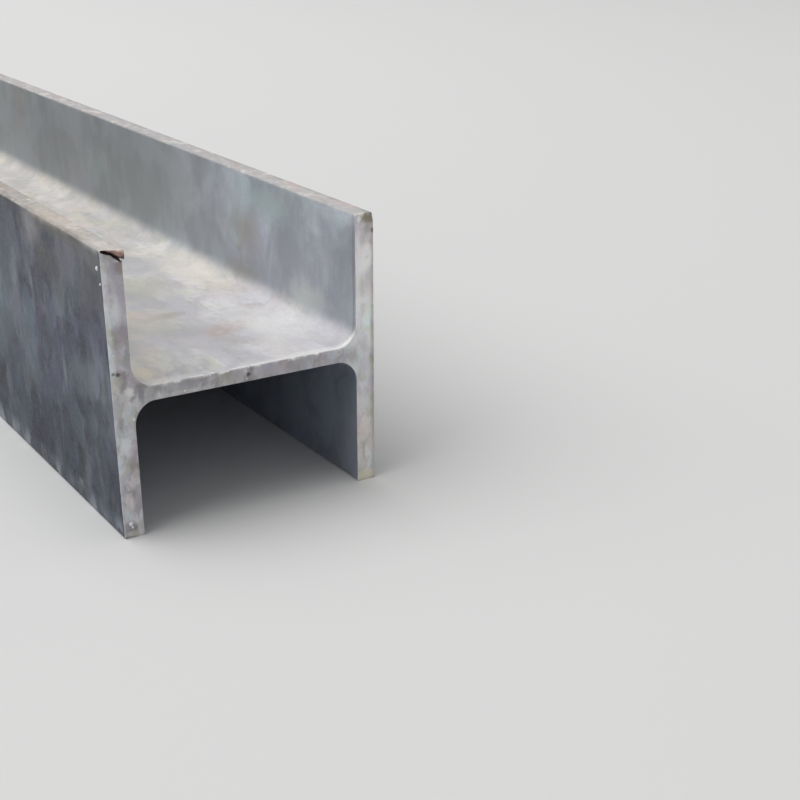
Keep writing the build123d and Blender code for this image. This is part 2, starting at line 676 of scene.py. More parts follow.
    def build(self, shelf: EffectShelf) -> Material:
        """Makes the material.

        Args:
            shelf: The shared effects.

        Returns:
            The finished material.
        """
        coat = Coat("rolled_skin", shelf, self.near_end)
        x, y, z = (coat.axes[name] for name in "XYZ")
        up = coat.upward()
        across = coat.math("ABSOLUTE", x)
        outer = coat.ease(across, self.flange_outer - 3.6 * MM, self.flange_outer - 2.3 * MM)
        side = coat.join(coat.math("MULTIPLY_ADD", coat.math("SIGN", x), 0.4, y), z, x)
        # Painted shade: the faces under the web are mostly given the darker colours.
        below = coat.step("Z", self.width * 0.56, self.width * 0.44)
        inner = coat.layers(self.inner_colour(coat, side), (below, 0.8, self.painted_shade_colour(coat, side)))
        colour = coat.mix(outer, inner, self.outer_colour(coat, side))
        dust = coat.mask(Effect.DUST, Amount=0.97, Start=0.05, Full=0.85, Patch=55.0, Seed=4.0)
        # Painted light: the top of the flange tips' inner rounding takes the dust colour, against the shade
        # that falls on it.
        crest_lightening = coat.times(coat.step("Z", self.width - 1.5 * MM, self.width - 0.5 * MM), coat.rest(outer))
        dust_and_crest_light = coat.math("MAXIMUM", dust, coat.times(crest_lightening, 0.9))
        ragged = coat.cloud(Scale=230.0, Stretch=(1.0, 0.5, 1.0), Low=0.44, High=0.60, Seed=6.0)
        # Painted highlight: a ragged bright band on the burr at the near end of the faces that look up.
        close = coat.times(coat.ease(up, 0.3, 0.8),
                           coat.step("Y", self.near_end + 2.6 * MM, self.near_end + 0.6 * MM),
                           coat.step("Z", self.width * 0.8, self.width * 0.9, 1.0, 0.35), ragged)
        # The worn arris is bare metal, kept mostly to edges that look up as a painted highlight.
        colour = coat.layers(
            colour, (dust_and_crest_light, 1.0, self.dust_colour(coat)),
            (coat.mask(Effect.RUST, Scale=16.0, Cover=0.25, Seed=9.0), 0.35, self.rust),
            (close, 0.85, self.burr_highlight), (coat.worn(420.0, 2.0), 0.4, self.bare))
        colour = coat.paint(colour, self.marks)
        grain = coat.grain(700.0, 5.0, "Mask")
        colour = coat.layers(colour, (grain, 0.22, coat.dim(colour, (1.4, 1.4, 1.4))))
        dusty = coat.ease(up, 0.1, 0.8)
        rough = coat.math("ADD", coat.times(grain, 0.12), coat.math("MULTIPLY_ADD", dusty, 0.22, 0.48))
        metal = coat.math("MULTIPLY_ADD", dusty, -0.25, 0.3)
        flakes = coat.cloud(Scale=120.0, Detail=4.0, Low=0.4, High=0.6, Seed=8.0)
        heights = ((coat.grain(520.0, 5.0, "Height"), 0.6), (flakes, 0.4))
        return coat.finish(colour, rough, metal, heights, 0.09 * MM)

    def outer_colour(self, coat: Coat, side: Socket) -> Socket:
        """Lays out the flanges' outer faces: blue-grey scale in soft patches of many sizes.

        Args:
            coat: The finish being laid out.
            side: The coordinates along the bar, up and across it.

        Returns:
            The socket that gives the colour.
        """
        near = coat.patches(Vector=side, Scale=105.0, Stretch=(1.0, 0.6, 1.0), Warp=1.0, Seed=1.0)
        wide = coat.patches(Vector=side, Scale=30.0, Stretch=(1.0, 0.8, 1.0), Warp=1.3, Seed=2.0)
        strokes = coat.cloud(
            Vector=side, Scale=74.0, Stretch=(1.0, 0.45, 1.0), Warp=0.4, Low=0.48, High=0.74, Seed=3.0)
        drips = coat.cloud(
            Vector=side, Scale=62.0, Stretch=(1.0, 0.42, 1.0), Warp=0.5, Low=0.46, High=0.61, Seed=17.0)
        colour = coat.tints(
            coat.mix(coat.ease(near["Tone"], 0.20, 0.75), self.scale_dark, self.scale_mid),
            (near, "Tint", 0.5, 1.0, 0.7, self.scale_teal), (near, "Tint", 0.5, 0.0, 0.6, self.scale_violet))
        dark = coat.dim(colour, (0.54, 0.57, 0.70))
        colour = coat.tints(coat.layers(colour, (drips, 0.75, dark)), (wide, "Tone", 0.60, 0.0, 1.0, dark),
                            (wide, "Flaw", 0.45, 1.0, 0.5, self.scale_mid))
        high = coat.step("Z", self.width * 0.60, self.width * 0.92)
        warm = coat.times(coat.ease(wide["Tint"], 0.30, 1.0), high)
        colour = coat.layers(colour, (warm, 0.5, self.scale_warm))
        colour = coat.mix(high, colour, coat.dim(colour, (0.56, 0.555, 0.57)))
        # Painted shade: the outer faces are darkened towards the bottom.
        low = coat.step("Z", self.width * 0.60, self.width * 0.18)
        colour = coat.mix(low, colour, coat.dim(colour, (0.30, 0.335, 0.40)))
        # Paler in patches towards the bottom edge of the outer faces.
        pale_bottom = coat.times(coat.step("Z", 12.0 * MM, 2.0 * MM), coat.ease(near["Flaw"], 0.1, 0.9, 0.1, 0.9))
        # Painted shadow: a ragged dark line just under the flange tips, where the tip's arris shades the
        # outer face.
        line = coat.times(coat.step("Z", self.width - 2.8 * MM, self.width - 1.2 * MM),
                          coat.cloud(Vector=side, Scale=130.0, Low=0.36, High=0.58, Seed=7.0))
        return coat.layers(colour, (strokes, 0.33, self.scale_pale), (pale_bottom, 1.0, self.scale_pale),
                           (line, 0.8, self.tip_shadow_line))

    def inner_colour(self, coat: Coat, side: Socket) -> Socket:
        """Lays out the flanges' inner faces, paler than the outer ones and duller away from the near end.

        Args:
            coat: The finish being laid out.
            side: The coordinates along the bar, up and across it.

        Returns:
            The socket that gives the colour.
        """
        near = coat.patches(Vector=side, Scale=80.0, Stretch=(0.9, 0.6, 1.0), Blur=0.7, Warp=0.7, Seed=11.0)
        wide = coat.patches(Vector=side, Scale=32.0, Stretch=(0.7, 1.0, 1.0), Blur=0.55, Warp=0.8, Seed=13.0)
        strokes = coat.cloud(
            Vector=side, Scale=84.0, Stretch=(1.0, 0.4, 1.0), Warp=0.4, Low=0.46, High=0.74, Seed=12.0)
        away = coat.step("Y", self.near_end + 120.0 * MM, self.near_end + 260.0 * MM)
        colour = coat.tints(
            coat.mix(near["Tone"], self.inner_dark, self.inner_pale),
            (near, "Tint", 0.5, 1.0, 0.75, self.inner_teal), (near, "Tint", 0.5, 0.0, 0.75, self.inner_lilac),
            (near, "Flaw", 0.6, 1.0, 0.6, self.inner_warm), (wide, "Tone", 0.5, 0.0, 0.75, self.inner_dark),
            (wide, "Tone", 0.5, 1.0, 0.6, self.inner_pale))
        return coat.layers(colour, (strokes, 0.35, self.inner_pale), (away, 0.65, self.inner_far))

    def painted_shade_colour(self, coat: Coat, side: Socket) -> Socket:
        """Lays out the faces under the web, darkened as painted shade, with violet and teal patches.

        Args:
            coat: The finish being laid out.
            side: The coordinates along the bar, up and across it.

        Returns:
            The socket that gives the colour.
        """
        near = coat.patches(Vector=side, Scale=95.0, Stretch=(1.0, 0.7, 1.0), Warp=1.0, Seed=15.0)
        dark = coat.dim(self.painted_shade, (0.66, 0.68, 0.70))
        return coat.tints(
            coat.mix(near["Tone"], dark, self.painted_shade),
            (near, "Tint", 0.5, 1.0, 0.75, self.painted_shade_violet), (near, "Tint", 0.5, 0.0, 0.6, self.painted_shade_teal))

    def dust_colour(self, coat: Coat) -> Socket:
        """Lays out the dust on the web, mottled in soft warm and cool patches, and on the flange tips.

        Args:
            coat: The finish being laid out.

        Returns:
            The socket that gives the colour.
        """
        near = coat.patches(Scale=125.0, Stretch=(1.0, 0.48, 1.0), Warp=1.1, Seed=21.0)
        wide = coat.patches(Scale=46.0, Stretch=(1.0, 0.42, 1.0), Warp=1.2, Seed=26.0)
        away = coat.step("Y", self.near_end + 100.0 * MM, self.near_end + 420.0 * MM)
        speckle = coat.cloud(Scale=300.0, Stretch=(1.0, 0.6, 1.0), Low=0.45, High=0.72, Seed=23.0)
        tip = coat.step("Z", self.width * 0.9, self.width * 0.98)
        colour = coat.tints(
            coat.mix(coat.ease(near["Tone"], 0.0, 0.9), self.dust_grey, self.dust_pale),
            (near, "Tint", 0.55, 1.0, 0.6, self.dust_olive), (near, "Tint", 0.45, 0.0, 0.6, self.dust_lilac),
            (near, "Flaw", 0.6, 1.0, 0.6, self.dust_rose), (wide, "Tint", 0.5, 1.0, 0.6, self.dust_cream),
            (wide, "Tint", 0.4, 0.0, 0.5, self.dust_lilac), (wide, "Tone", 0.4, 0.0, 0.5, self.dust_grey),
            (wide, "Tone", 0.55, 1.0, 0.5, self.dust_pale))
        return coat.layers(colour, (away, 0.35, self.dust_cream), (speckle, 0.35, self.dust_grey),
                           (tip, 0.92, self.toe_colour(coat)))

    def toe_colour(self, coat: Coat) -> Socket:
        """Lays out the flange tips: cream on the left one, whiter on the right, with pinkish flecks.

        Args:
            coat: The finish being laid out.

        Returns:
            The socket that gives the colour.
        """
        right = coat.step("X", -20.0 * MM, 20.0 * MM)
        dirty = coat.math("MULTIPLY_ADD", right, -0.4, 0.75)
        pink = coat.cloud(Scale=80.0, Stretch=(1.0, 0.6, 1.0), Low=0.46, High=0.64, Seed=24.0)
        pale = coat.cloud(Scale=150.0, Stretch=(1.0, 0.5, 1.0), Low=0.50, High=0.68, Seed=27.0)
        dull = coat.cloud(Scale=330.0, Stretch=(1.0, 0.7, 1.0), Low=0.43, High=0.61, Seed=25.0)
        edge = coat.step("X", 2.6 * MM - self.flange_outer, 0.6 * MM - self.flange_outer)
        ragged = coat.cloud(Scale=120.0, Low=0.40, High=0.60, Seed=28.0)
        return coat.layers(
            coat.mix(right, self.toe_cream, self.toe_white), (coat.times(pink, dirty), 1.0, self.toe_pink),
            (pale, 0.7, self.dust_pale), (coat.times(dull, dirty), 1.0, self.toe_dull),
            (coat.times(edge, coat.times(ragged, 0.75)), 1.0, self.toe_rim))


@dataclass(frozen=True)
class SawnEnd:
    """The sawn cross-section: light metal in soft upright tints, with faint saw lines."""

    near_end: float
    web_top: float
    web_half: float
    base_dark: Colour = (0.33, 0.325, 0.345)
    base_light: Colour = (0.63, 0.63, 0.645)
    blue: Colour = (1.02, 1.11, 1.17)
    lilac: Colour = (0.89, 0.86, 0.93)
    olive: Colour = (0.88, 0.87, 0.75)
    rose: Colour = (1.10, 1.01, 1.00)
    burr_highlight: Colour = (0.97, 0.96, 0.93)
    # The colour of the painted shade in the nicks under the burr.
    notch: Colour = (0.20, 0.19, 0.19)
    pale: Colour = (0.80, 0.80, 0.81)
    stain: Colour = (0.30, 0.25, 0.21)
    shades: tuple[Mark, ...] = face_marks(
        1, 0.0, 9.0,
        # The first four rows paint the right flange's end paler: partly its own colour, partly painted light,
        # as it took more direct light.
        (57.0, 104.0, 11.0, 22.0, 0.88, 0.86, 0.87, 0.85, 0.8, 0.2),
        (57.0, 72.0, 13.0, 18.0, 0.93, 0.98, 0.955, 0.85, 0.8, 0.3),
        (56.0, 44.0, 9.0, 18.0, 0.76, 0.79, 0.82, 0.8, 0.8, 0.3),
        (56.5, 18.0, 9.0, 17.0, 0.80, 0.78, 0.74, 0.8, 0.8, 0.3),
        (2.0, 62.5, 36.0, 5.0, 0.40, 0.39, 0.415, 0.65, 0.8, 0.3),
        (-30.0, 62.5, 13.0, 5.0, 0.36, 0.355, 0.375, 0.6, 0.8, 0.3),
        (38.0, 62.5, 14.0, 5.0, 0.50, 0.49, 0.52, 0.6, 0.8, 0.3),
        (-57.0, 106.0, 9.0, 20.0, 0.64, 0.625, 0.675, 0.55, 0.8, 0.3),
        (-55.0, 26.0, 9.0, 22.0, 0.56, 0.54, 0.55, 0.45, 0.8, 0.3),
        (-61.3, 100.0, 1.5, 22.0, 0.72, 0.75, 0.77, 0.85, 0.6, 0.25),
        (-60.7, 80.0, 1.6, 8.0, 0.72, 0.76, 0.78, 0.85, 0.6, 0.25),
        (-60.9, 36.0, 1.4, 36.0, 0.66, 0.68, 0.69, 0.7, 0.7, 0.3),
        # Painted shade: a darker strip along the right flange's outer edge.
        (62.4, 62.0, 1.7, 60.0, 0.40, 0.40, 0.35, 0.75, 0.7, 0.3),
    )
    marks: tuple[Mark, ...] = face_marks(
        1, 0.0, 3.0,
        (-57.2, 100.0, 2.6, 6.0, 0.76, 0.79, 0.82, 0.75, 0.7, 0.6),
        (-54.6, 108.0, 1.8, 9.0, 0.47, 0.41, 0.52, 0.6, 0.7, 0.5),
        (-54.6, 117.4, 2.2, 2.8, 0.30, 0.255, 0.24, 0.75, 0.6, 0.5),
        (-55.4, 120.0, 1.5, 0.6, 0.86, 0.86, 0.88, 0.5, 0.7, 0.5),
        (-55.2, 91.4, 2.2, 4.0, 0.36, 0.32, 0.37, 0.6, 0.7, 0.5),
        (-54.4, 77.6, 1.8, 3.6, 0.33, 0.32, 0.335, 0.65, 0.7, 0.5),
        (-59.6, 69.6, 2.6, 3.0, 0.57, 0.56, 0.47, 0.6, 0.7, 0.5),
        (-60.2, 73.4, 0.8, 0.7, 0.20, 0.185, 0.17, 0.8, 0.5, 0.3),
        (-58.2, 72.9, 1.0, 0.8, 0.13, 0.115, 0.10, 0.9, 0.5, 0.3),
        (-53.8, 64.5, 1.7, 2.2, 0.82, 0.83, 0.85, 0.8, 0.6, 0.6),
        (-58.8, 60.0, 2.2, 7.0, 0.55, 0.54, 0.52, 0.5, 0.7, 0.5),
        (-57.2, 41.4, 2.2, 4.6, 0.76, 0.80, 0.85, 0.75, 0.7, 0.6),
        (-54.2, 33.0, 1.8, 3.4, 0.33, 0.28, 0.27, 0.6, 0.7, 0.5),
        (-56.6, 16.0, 1.4, 3.0, 0.74, 0.66, 0.70, 0.6, 0.7, 0.5),
        (-55.6, 1.6, 4.0, 1.4, 0.72, 0.70, 0.62, 0.5, 0.7, 0.5),
        (-47.6, 70.5, 5.0, 2.6, 0.60, 0.54, 0.54, 0.5, 0.7, 0.5),
        (-26.0, 64.6, 7.0, 1.6, 0.33, 0.325, 0.345, 0.7, 0.7, 0.7),
        (-30.0, 60.2, 14.0, 0.9, 0.60, 0.59, 0.585, 0.6, 0.7, 0.6),
        (-10.0, 62.4, 5.0, 2.2, 0.44, 0.44, 0.39, 0.5, 0.7, 0.6),
        (10.0, 63.0, 5.0, 2.4, 0.47, 0.46, 0.54, 0.5, 0.7, 0.6),
        (22.0, 62.0, 5.0, 2.4, 0.36, 0.345, 0.355, 0.5, 0.7, 0.7),
        (-0.1, 62.2, 0.9, 0.9, 0.16, 0.145, 0.17, 0.8, 0.5, 0.3),
        # The next two white marks, the brightest of the right flange's end, are partly painted light like the
        # pale shades.
        (58.6, 108.0, 2.6, 3.4, 1.0, 0.97, 0.98, 0.85, 0.7, 0.5),
        (57.6, 102.6, 3.4, 3.6, 1.0, 1.0, 0.99, 0.95, 0.6, 0.5),
        (56.4, 114.0, 2.2, 2.6, 0.68, 0.65, 0.67, 0.7, 0.7, 0.5),
        (60.4, 97.0, 2.0, 3.4, 0.64, 0.65, 0.62, 0.7, 0.7, 0.5),
        (59.2, 118.3, 1.8, 1.6, 0.50, 0.46, 0.45, 0.75, 0.7, 0.4),
        (54.6, 96.0, 1.3, 20.0, 0.97, 0.96, 0.99, 0.7, 0.7, 0.3),
        (59.9, 122.6, 2.9, 2.5, 0.27, 0.245, 0.155, 0.85, 0.6, 0.5),
        (61.9, 123.0, 1.5, 3.2, 0.22, 0.20, 0.165, 0.8, 0.6, 0.4),
        (62.4, 117.2, 1.1, 1.2, 0.09, 0.06, 0.06, 0.9, 0.5, 0.3),
        (57.5, 91.0, 2.6, 4.0, 0.66, 0.65, 0.665, 0.6, 0.7, 0.5),
        (59.4, 84.0, 2.2, 6.0, 0.98, 0.97, 0.96, 0.5, 0.7, 0.5),
        (56.6, 125.0, 1.3, 1.1, 0.86, 0.80, 0.62, 0.85, 0.5, 0.4),
        (55.1, 122.7, 1.0, 1.3, 0.92, 0.90, 0.90, 0.85, 0.5, 0.4),
        (54.4, 65.2, 1.4, 1.4, 0.86, 0.83, 0.88, 0.75, 0.6, 0.3),
        (57.0, 64.6, 3.0, 3.0, 0.56, 0.52, 0.57, 0.5, 0.7, 0.5),
        (57.0, 2.4, 4.6, 3.0, 0.80, 0.77, 0.60, 0.8, 0.6, 0.4),
        (57.5, 25.0, 3.0, 5.0, 0.76, 0.70, 0.65, 0.5, 0.7, 0.5),
    )

    def build(self, shelf: EffectShelf) -> Material:
        """Makes the material.

        Args:
            shelf: The shared effects.

        Returns:
            The finished material.
        """
        coat = Coat("sawn_end", shelf, self.near_end)
        face = coat.join(coat.axes["X"], coat.axes["Z"], coat.axes["Y"])
        near = coat.patches(Vector=face, Scale=300.0, Stretch=(1.0, 0.55, 1.0), Warp=1.0, Seed=31.0)
        colour = coat.paint(coat.mix(near["Tone"], self.base_dark, self.base_light), self.shades)
        for name, start, full, tint in (("Tint", 0.50, 1.0, self.blue), ("Tint", 0.50, 0.0, self.lilac),
                                        ("Flaw", 0.55, 1.0, self.olive), ("Flaw", 0.45, 0.0, self.rose)):
            colour = coat.tints(colour, (near, name, start, full, 0.9, coat.dim(colour, tint)))
        dull = coat.cloud(Scale=260.0, Stretch=(1.0, 1.0, 0.75), Detail=4.0, Warp=0.5, Low=0.48, High=0.74,
                          Seed=32.0)
        pale = coat.cloud(Scale=280.0, Stretch=(1.0, 1.0, 0.7), Warp=0.3, Low=0.52, High=0.76, Seed=33.0)
        # The worn arris is pale metal, kept mostly to edges that look up as a painted highlight.
        colour = coat.layers(
            colour, (dull, 1.0, coat.dim(colour, (0.78, 0.77, 0.79))), (pale, 0.45, self.pale),
            (coat.mask(Effect.RUST, Scale=90.0, Cover=0.25, Seed=34.0), 0.25, self.stain),
            (coat.worn(500.0, 35.0), 0.45, self.pale))
        colour = coat.paint(self.web_edge(coat, colour), self.marks)
        rough = coat.math("MULTIPLY_ADD", coat.grain(900.0, 36.0, "Mask"), 0.15, 0.48)
        kerf = coat.effect(Effect.KERF, Pitch=1.1 * MM, Length=30.0 * MM, Seed=37.0)["Height"]
        heights = ((kerf, 0.6), (coat.grain(800.0, 36.0, "Height"), 0.4))
        return coat.finish(colour, rough, 0.25, heights, 0.06 * MM)

    def web_edge(self, coat: Coat, below: Socket) -> Socket:
        """Lays a broken painted highlight on the burr along the web's upper edge, with small dark nicks under
        it painted as shade.

        Args:
            coat: The finish being laid out.
            below: The colour that it lies on.

        Returns:
            The socket that gives the colour with the fringe on it.
        """
        web = coat.ease(coat.math("ABSOLUTE", coat.axes["X"]), self.web_half + 2.0 * MM, self.web_half)
        nicks = coat.cloud(Scale=300.0, Stretch=(1.0, 1.0, 0.5), Low=0.54, High=0.68, Seed=38.0)
        # Painted shade in the small nicks under the burr.
        shadow = coat.times(coat.step("Z", self.web_top - 3.0 * MM, self.web_top - 1.2 * MM), nicks, web)
        bright = coat.cloud(Scale=210.0, Low=0.46, High=0.60, Seed=39.0)
        # Painted highlight on the burr.
        rim = coat.times(coat.step("Z", self.web_top - 1.5 * MM, self.web_top - 0.5 * MM), bright, web)
        return coat.layers(below, (shadow, 0.6, self.notch), (rim, 0.85, self.burr_highlight))


@dataclass(frozen=True)
class TornSteel:
    """Raw torn metal, rusted pink-brown in places; its dark base is partly crust, partly painted shade in the
    notch under the tongue.
    """

    near_end: float
    # Dark base colour: partly crust, partly painted shade in the notch.
    shaded_crust: Colour = (0.075, 0.048, 0.044)
    scab: Colour = (0.17, 0.10, 0.085)
    marks: tuple[Mark, ...] = (
        Mark((-57.0, -3.0, 125.0), (3.4, 3.0, 1.5), (0.34, 0.22, 0.19), 0.85, 0.6, 0.4),
        Mark((-54.9, -4.2, 123.6), (2.4, 2.4, 1.8), (0.40, 0.25, 0.21), 0.95, 0.5, 0.5),
        # The next two peach marks are pink rust on the tongue's top, painted paler there as a highlight.
        Mark((-53.4, -4.6, 125.1), (1.6, 2.2, 1.1), (0.80, 0.61, 0.52), 0.85, 0.7, 0.6),
        Mark((-55.6, -4.2, 125.2), (1.4, 2.0, 0.6), (0.80, 0.60, 0.52), 0.75, 0.5, 0.4),
        # Painted shadow under the tongue's tip.
        Mark((-53.9, -4.0, 121.5), (2.8, 4.0, 1.5), (0.075, 0.050, 0.046), 0.95, 0.5, 0.4),
        # Painted highlight on the sliver below the tongue's tip.
        Mark((-53.2, -1.0, 120.4), (1.1, 3.0, 1.1), (0.78, 0.80, 0.83), 0.85, 0.4, 0.3),
    )

    def build(self, shelf: EffectShelf) -> Material:
        """Makes the material.

        Args:
            shelf: The shared effects.

        Returns:
            The finished material.
        """
        coat = Coat("torn_steel", shelf, self.near_end)
        shaded_crust = coat.cloud(Scale=420.0, Detail=4.0, Low=0.42, High=0.62, Seed=41.0)
        colour = coat.paint(coat.mix(shaded_crust, self.shaded_crust, self.scab), self.marks)
        rough = coat.math("MULTIPLY_ADD", shaded_crust, 0.2, 0.6)
        return coat.finish(colour, rough, 0.1, ((coat.grain(900.0, 43.0, "Height"), 1.0),), 0.2 * MM)


@dataclass(frozen=True)
class PaleSpeck:
    """Small drops and crumbs stuck on the steel, bright with dull patches."""

    bright: Colour = (0.80, 0.81, 0.82)
    dull: Colour = (0.45, 0.45, 0.46)

    def build(self, shelf: EffectShelf) -> Material:
        """Makes the material.

        Args:
            shelf: The shared effects.

        Returns:
            The finished material.
        """
        coat = Coat("pale_speck", shelf)
        dull = coat.cloud(Scale=700.0, Low=0.5, High=0.7, Seed=51.0)
        rough = coat.math("MULTIPLY_ADD", dull, 0.25, 0.4)
        relief = coat.grain(1500.0, 52.0, "Height")
        colour = coat.layers(self.bright, (dull, 0.6, self.dull))
        return coat.finish(colour, rough, 0.2, ((relief, 1.0),), 0.05 * MM)


@dataclass(frozen=True)
class Section:
    """The rolled cross-section, two flanges and a web, with X across it and Z up."""

    depth: float
    width: float
    web: float = 6.5 * MM
    flange: float = 9.0 * MM
    root_radius: float = 10.0 * MM
    toe_radius: float = 1.0 * MM
    root_steps: int = 9
    toe_steps: int = 4
    fine_step: float = 0.8 * MM
    wide_step: float = 4.5 * MM
    growth: float = 1.5

    @property
    def outer(self) -> float:
        """How far the flanges' outer faces are from the middle."""
        return self.depth / 2

    @property
    def inner(self) -> float:
        """How far the flanges' inner faces are from the middle."""
        return self.depth / 2 - self.flange

    def corners(self) -> list[tuple[float, float, float]]:
        """Lists the outline's corners.

        Returns:
            Each corner's x, z and radius, round from the right upper root.
        """
        upper = self.width / 2 + self.web / 2
        lower = self.width / 2 - self.web / 2
        root = self.root_radius
        toe = self.toe_radius
        right = [
            (self.inner, upper, root),
            (self.inner, self.width, toe),
            (self.outer, self.width, toe),
            (self.outer, 0.0, toe),
            (self.inner, 0.0, toe),
            (self.inner, lower, root),
        ]
        return right + [(-x, z, radius) for x, z, radius in reversed(right)]

    def run(self, length: float, first_fine: bool, last_fine: bool) -> list[float]:
        """Spaces the points along a straight run, close together where it meets a toe.

        Args:
            length: The run's length.
            first_fine: Whether it starts at a toe.
            last_fine: Whether it ends at a toe.

        Returns:
            Each point's distance from the start.
        """
        if length < 3 * self.wide_step:
            count = round(length / self.fine_step)
            return [length * k / count for k in range(1, count)]
        ramp = []
        step = self.fine_step
        while step < self.wide_step:
            ramp.append((ramp[-1] if ramp else 0.0) + step)
            step *= self.growth
        head = ramp if first_fine else []
        tail = [length - at for at in reversed(ramp)] if last_fine else []
        start = head[-1] if head else 0.0
        stop = tail[0] if tail else length
        count = max(1, round((stop - start) / self.wide_step))
        return head + [start + (stop - start) * k / count for k in range(1, count)] + tail

    def outline(self) -> list[Vector]:
        """Walks round the section.

        Returns:
            The points of the closed outline, as x and z.
        """
        corners = self.corners()
        points = []
        for index, (x, z, radius) in enumerate(corners):
            after_x, after_z, after_radius = corners[(index + 1) % len(corners)]
            here = Vector((x, z))
            arriving = (here - Vector(corners[index - 1][:2])).normalized()
            leaving = (Vector((after_x, after_z)) - here).normalized()
            centre = here - arriving * radius + leaving * radius
            steps = self.toe_steps if radius == self.toe_radius else self.root_steps
            for k in range(steps + 1):
                turn = math.pi / 2 * k / steps
                swing = arriving * radius * math.sin(turn) - leaving * radius * math.cos(turn)
                points.append(centre + swing)
            length = (Vector((after_x, after_z)) - here).length - radius - after_radius
            start = here + leaving * radius
            for at in self.run(length, radius == self.toe_radius, after_radius == self.toe_radius):
                points.append(start + leaving * at)
        return points


class ShapeTree(NodeSheet):
    """A Geometry Nodes tree with named inputs."""

    KINDS: dict[type, str] = {float: "Float", int: "Int", type(None): "Material"}

    def __init__(self, name: str, inputs: dict[str, float | int | None]) -> None:
        """Makes the tree.

        Args:
            name: The tree's name.
            inputs: Each input's name and value, None where it takes a material.
        """
        super().__init__(bpy.data.node_groups.new(name, "GeometryNodeTree"))
        sockets = self.tree.interface
        sockets.new_socket("Geometry", in_out="INPUT", socket_type="NodeSocketGeometry")
        self.keys: dict[str, str] = {}
        for label, value in inputs.items():
            kind = "NodeSocket" + self.KINDS[type(value)]
            socket = sockets.new_socket(label, in_out="INPUT", socket_type=kind)
            if value is not None:
                socket.default_value = value
            self.keys[label] = socket.identifier
        sockets.new_socket("Geometry", in_out="OUTPUT", socket_type="NodeSocketGeometry")
        self.given = self.add("NodeGroupInput").outputs

    def position(self) -> Socket:
        """Gives each point's own place."""
        return self.out("GeometryNodeInputPosition")

    def noise(self, seed: Feed, scale: float) -> Socket:
        """Reads seeded noise at each point.

        Args:
            seed: The noise's seed.
            scale: How many ups and downs there are to the metre.

        Returns:
            The socket that gives the noise, from -1 to 1.
        """
        feeds = {"Vector": self.position(), "W": seed, "Scale": scale, "Detail": 2.0}
        node = self.out("ShaderNodeTexNoise", feeds, noise_dimensions="4D")
        return self.math("MULTIPLY_ADD", node, 2.0, -1.0)

    def dress(self, shape: Socket, material: Socket) -> None:
        """Ends the tree in its shape with the material set."""
        dressed = self.out("GeometryNodeSetMaterial", {"Geometry": shape, "Material": material})
        self.add("NodeGroupOutput", {"Geometry": dressed})

    def run(self, mesh: bpy.types.Mesh, name: str, values: dict[str, Feed]) -> bpy.types.Mesh:
        """Runs the tree on a mesh and keeps the result as a plain mesh.

        Args:
            mesh: What the tree starts from.
            name: The name for the result.
            values: What goes into the tree's inputs, by name.

        Returns:
            The plain mesh.
        """
        holder = bpy.data.objects.new(name + "_source", mesh)
        bpy.context.scene.collection.objects.link(holder)
        modifier = holder.modifiers.new("Build", "NODES")
        modifier.node_group = self.tree
        for label, value in values.items():
            modifier[self.keys[label]] = value
        graph = bpy.context.evaluated_depsgraph_get()
        result = bpy.data.meshes.new_from_object(holder.evaluated_get(graph))
        result.name = name
        holder.modifiers.remove(modifier)
        bpy.data.objects.remove(holder)
        return result


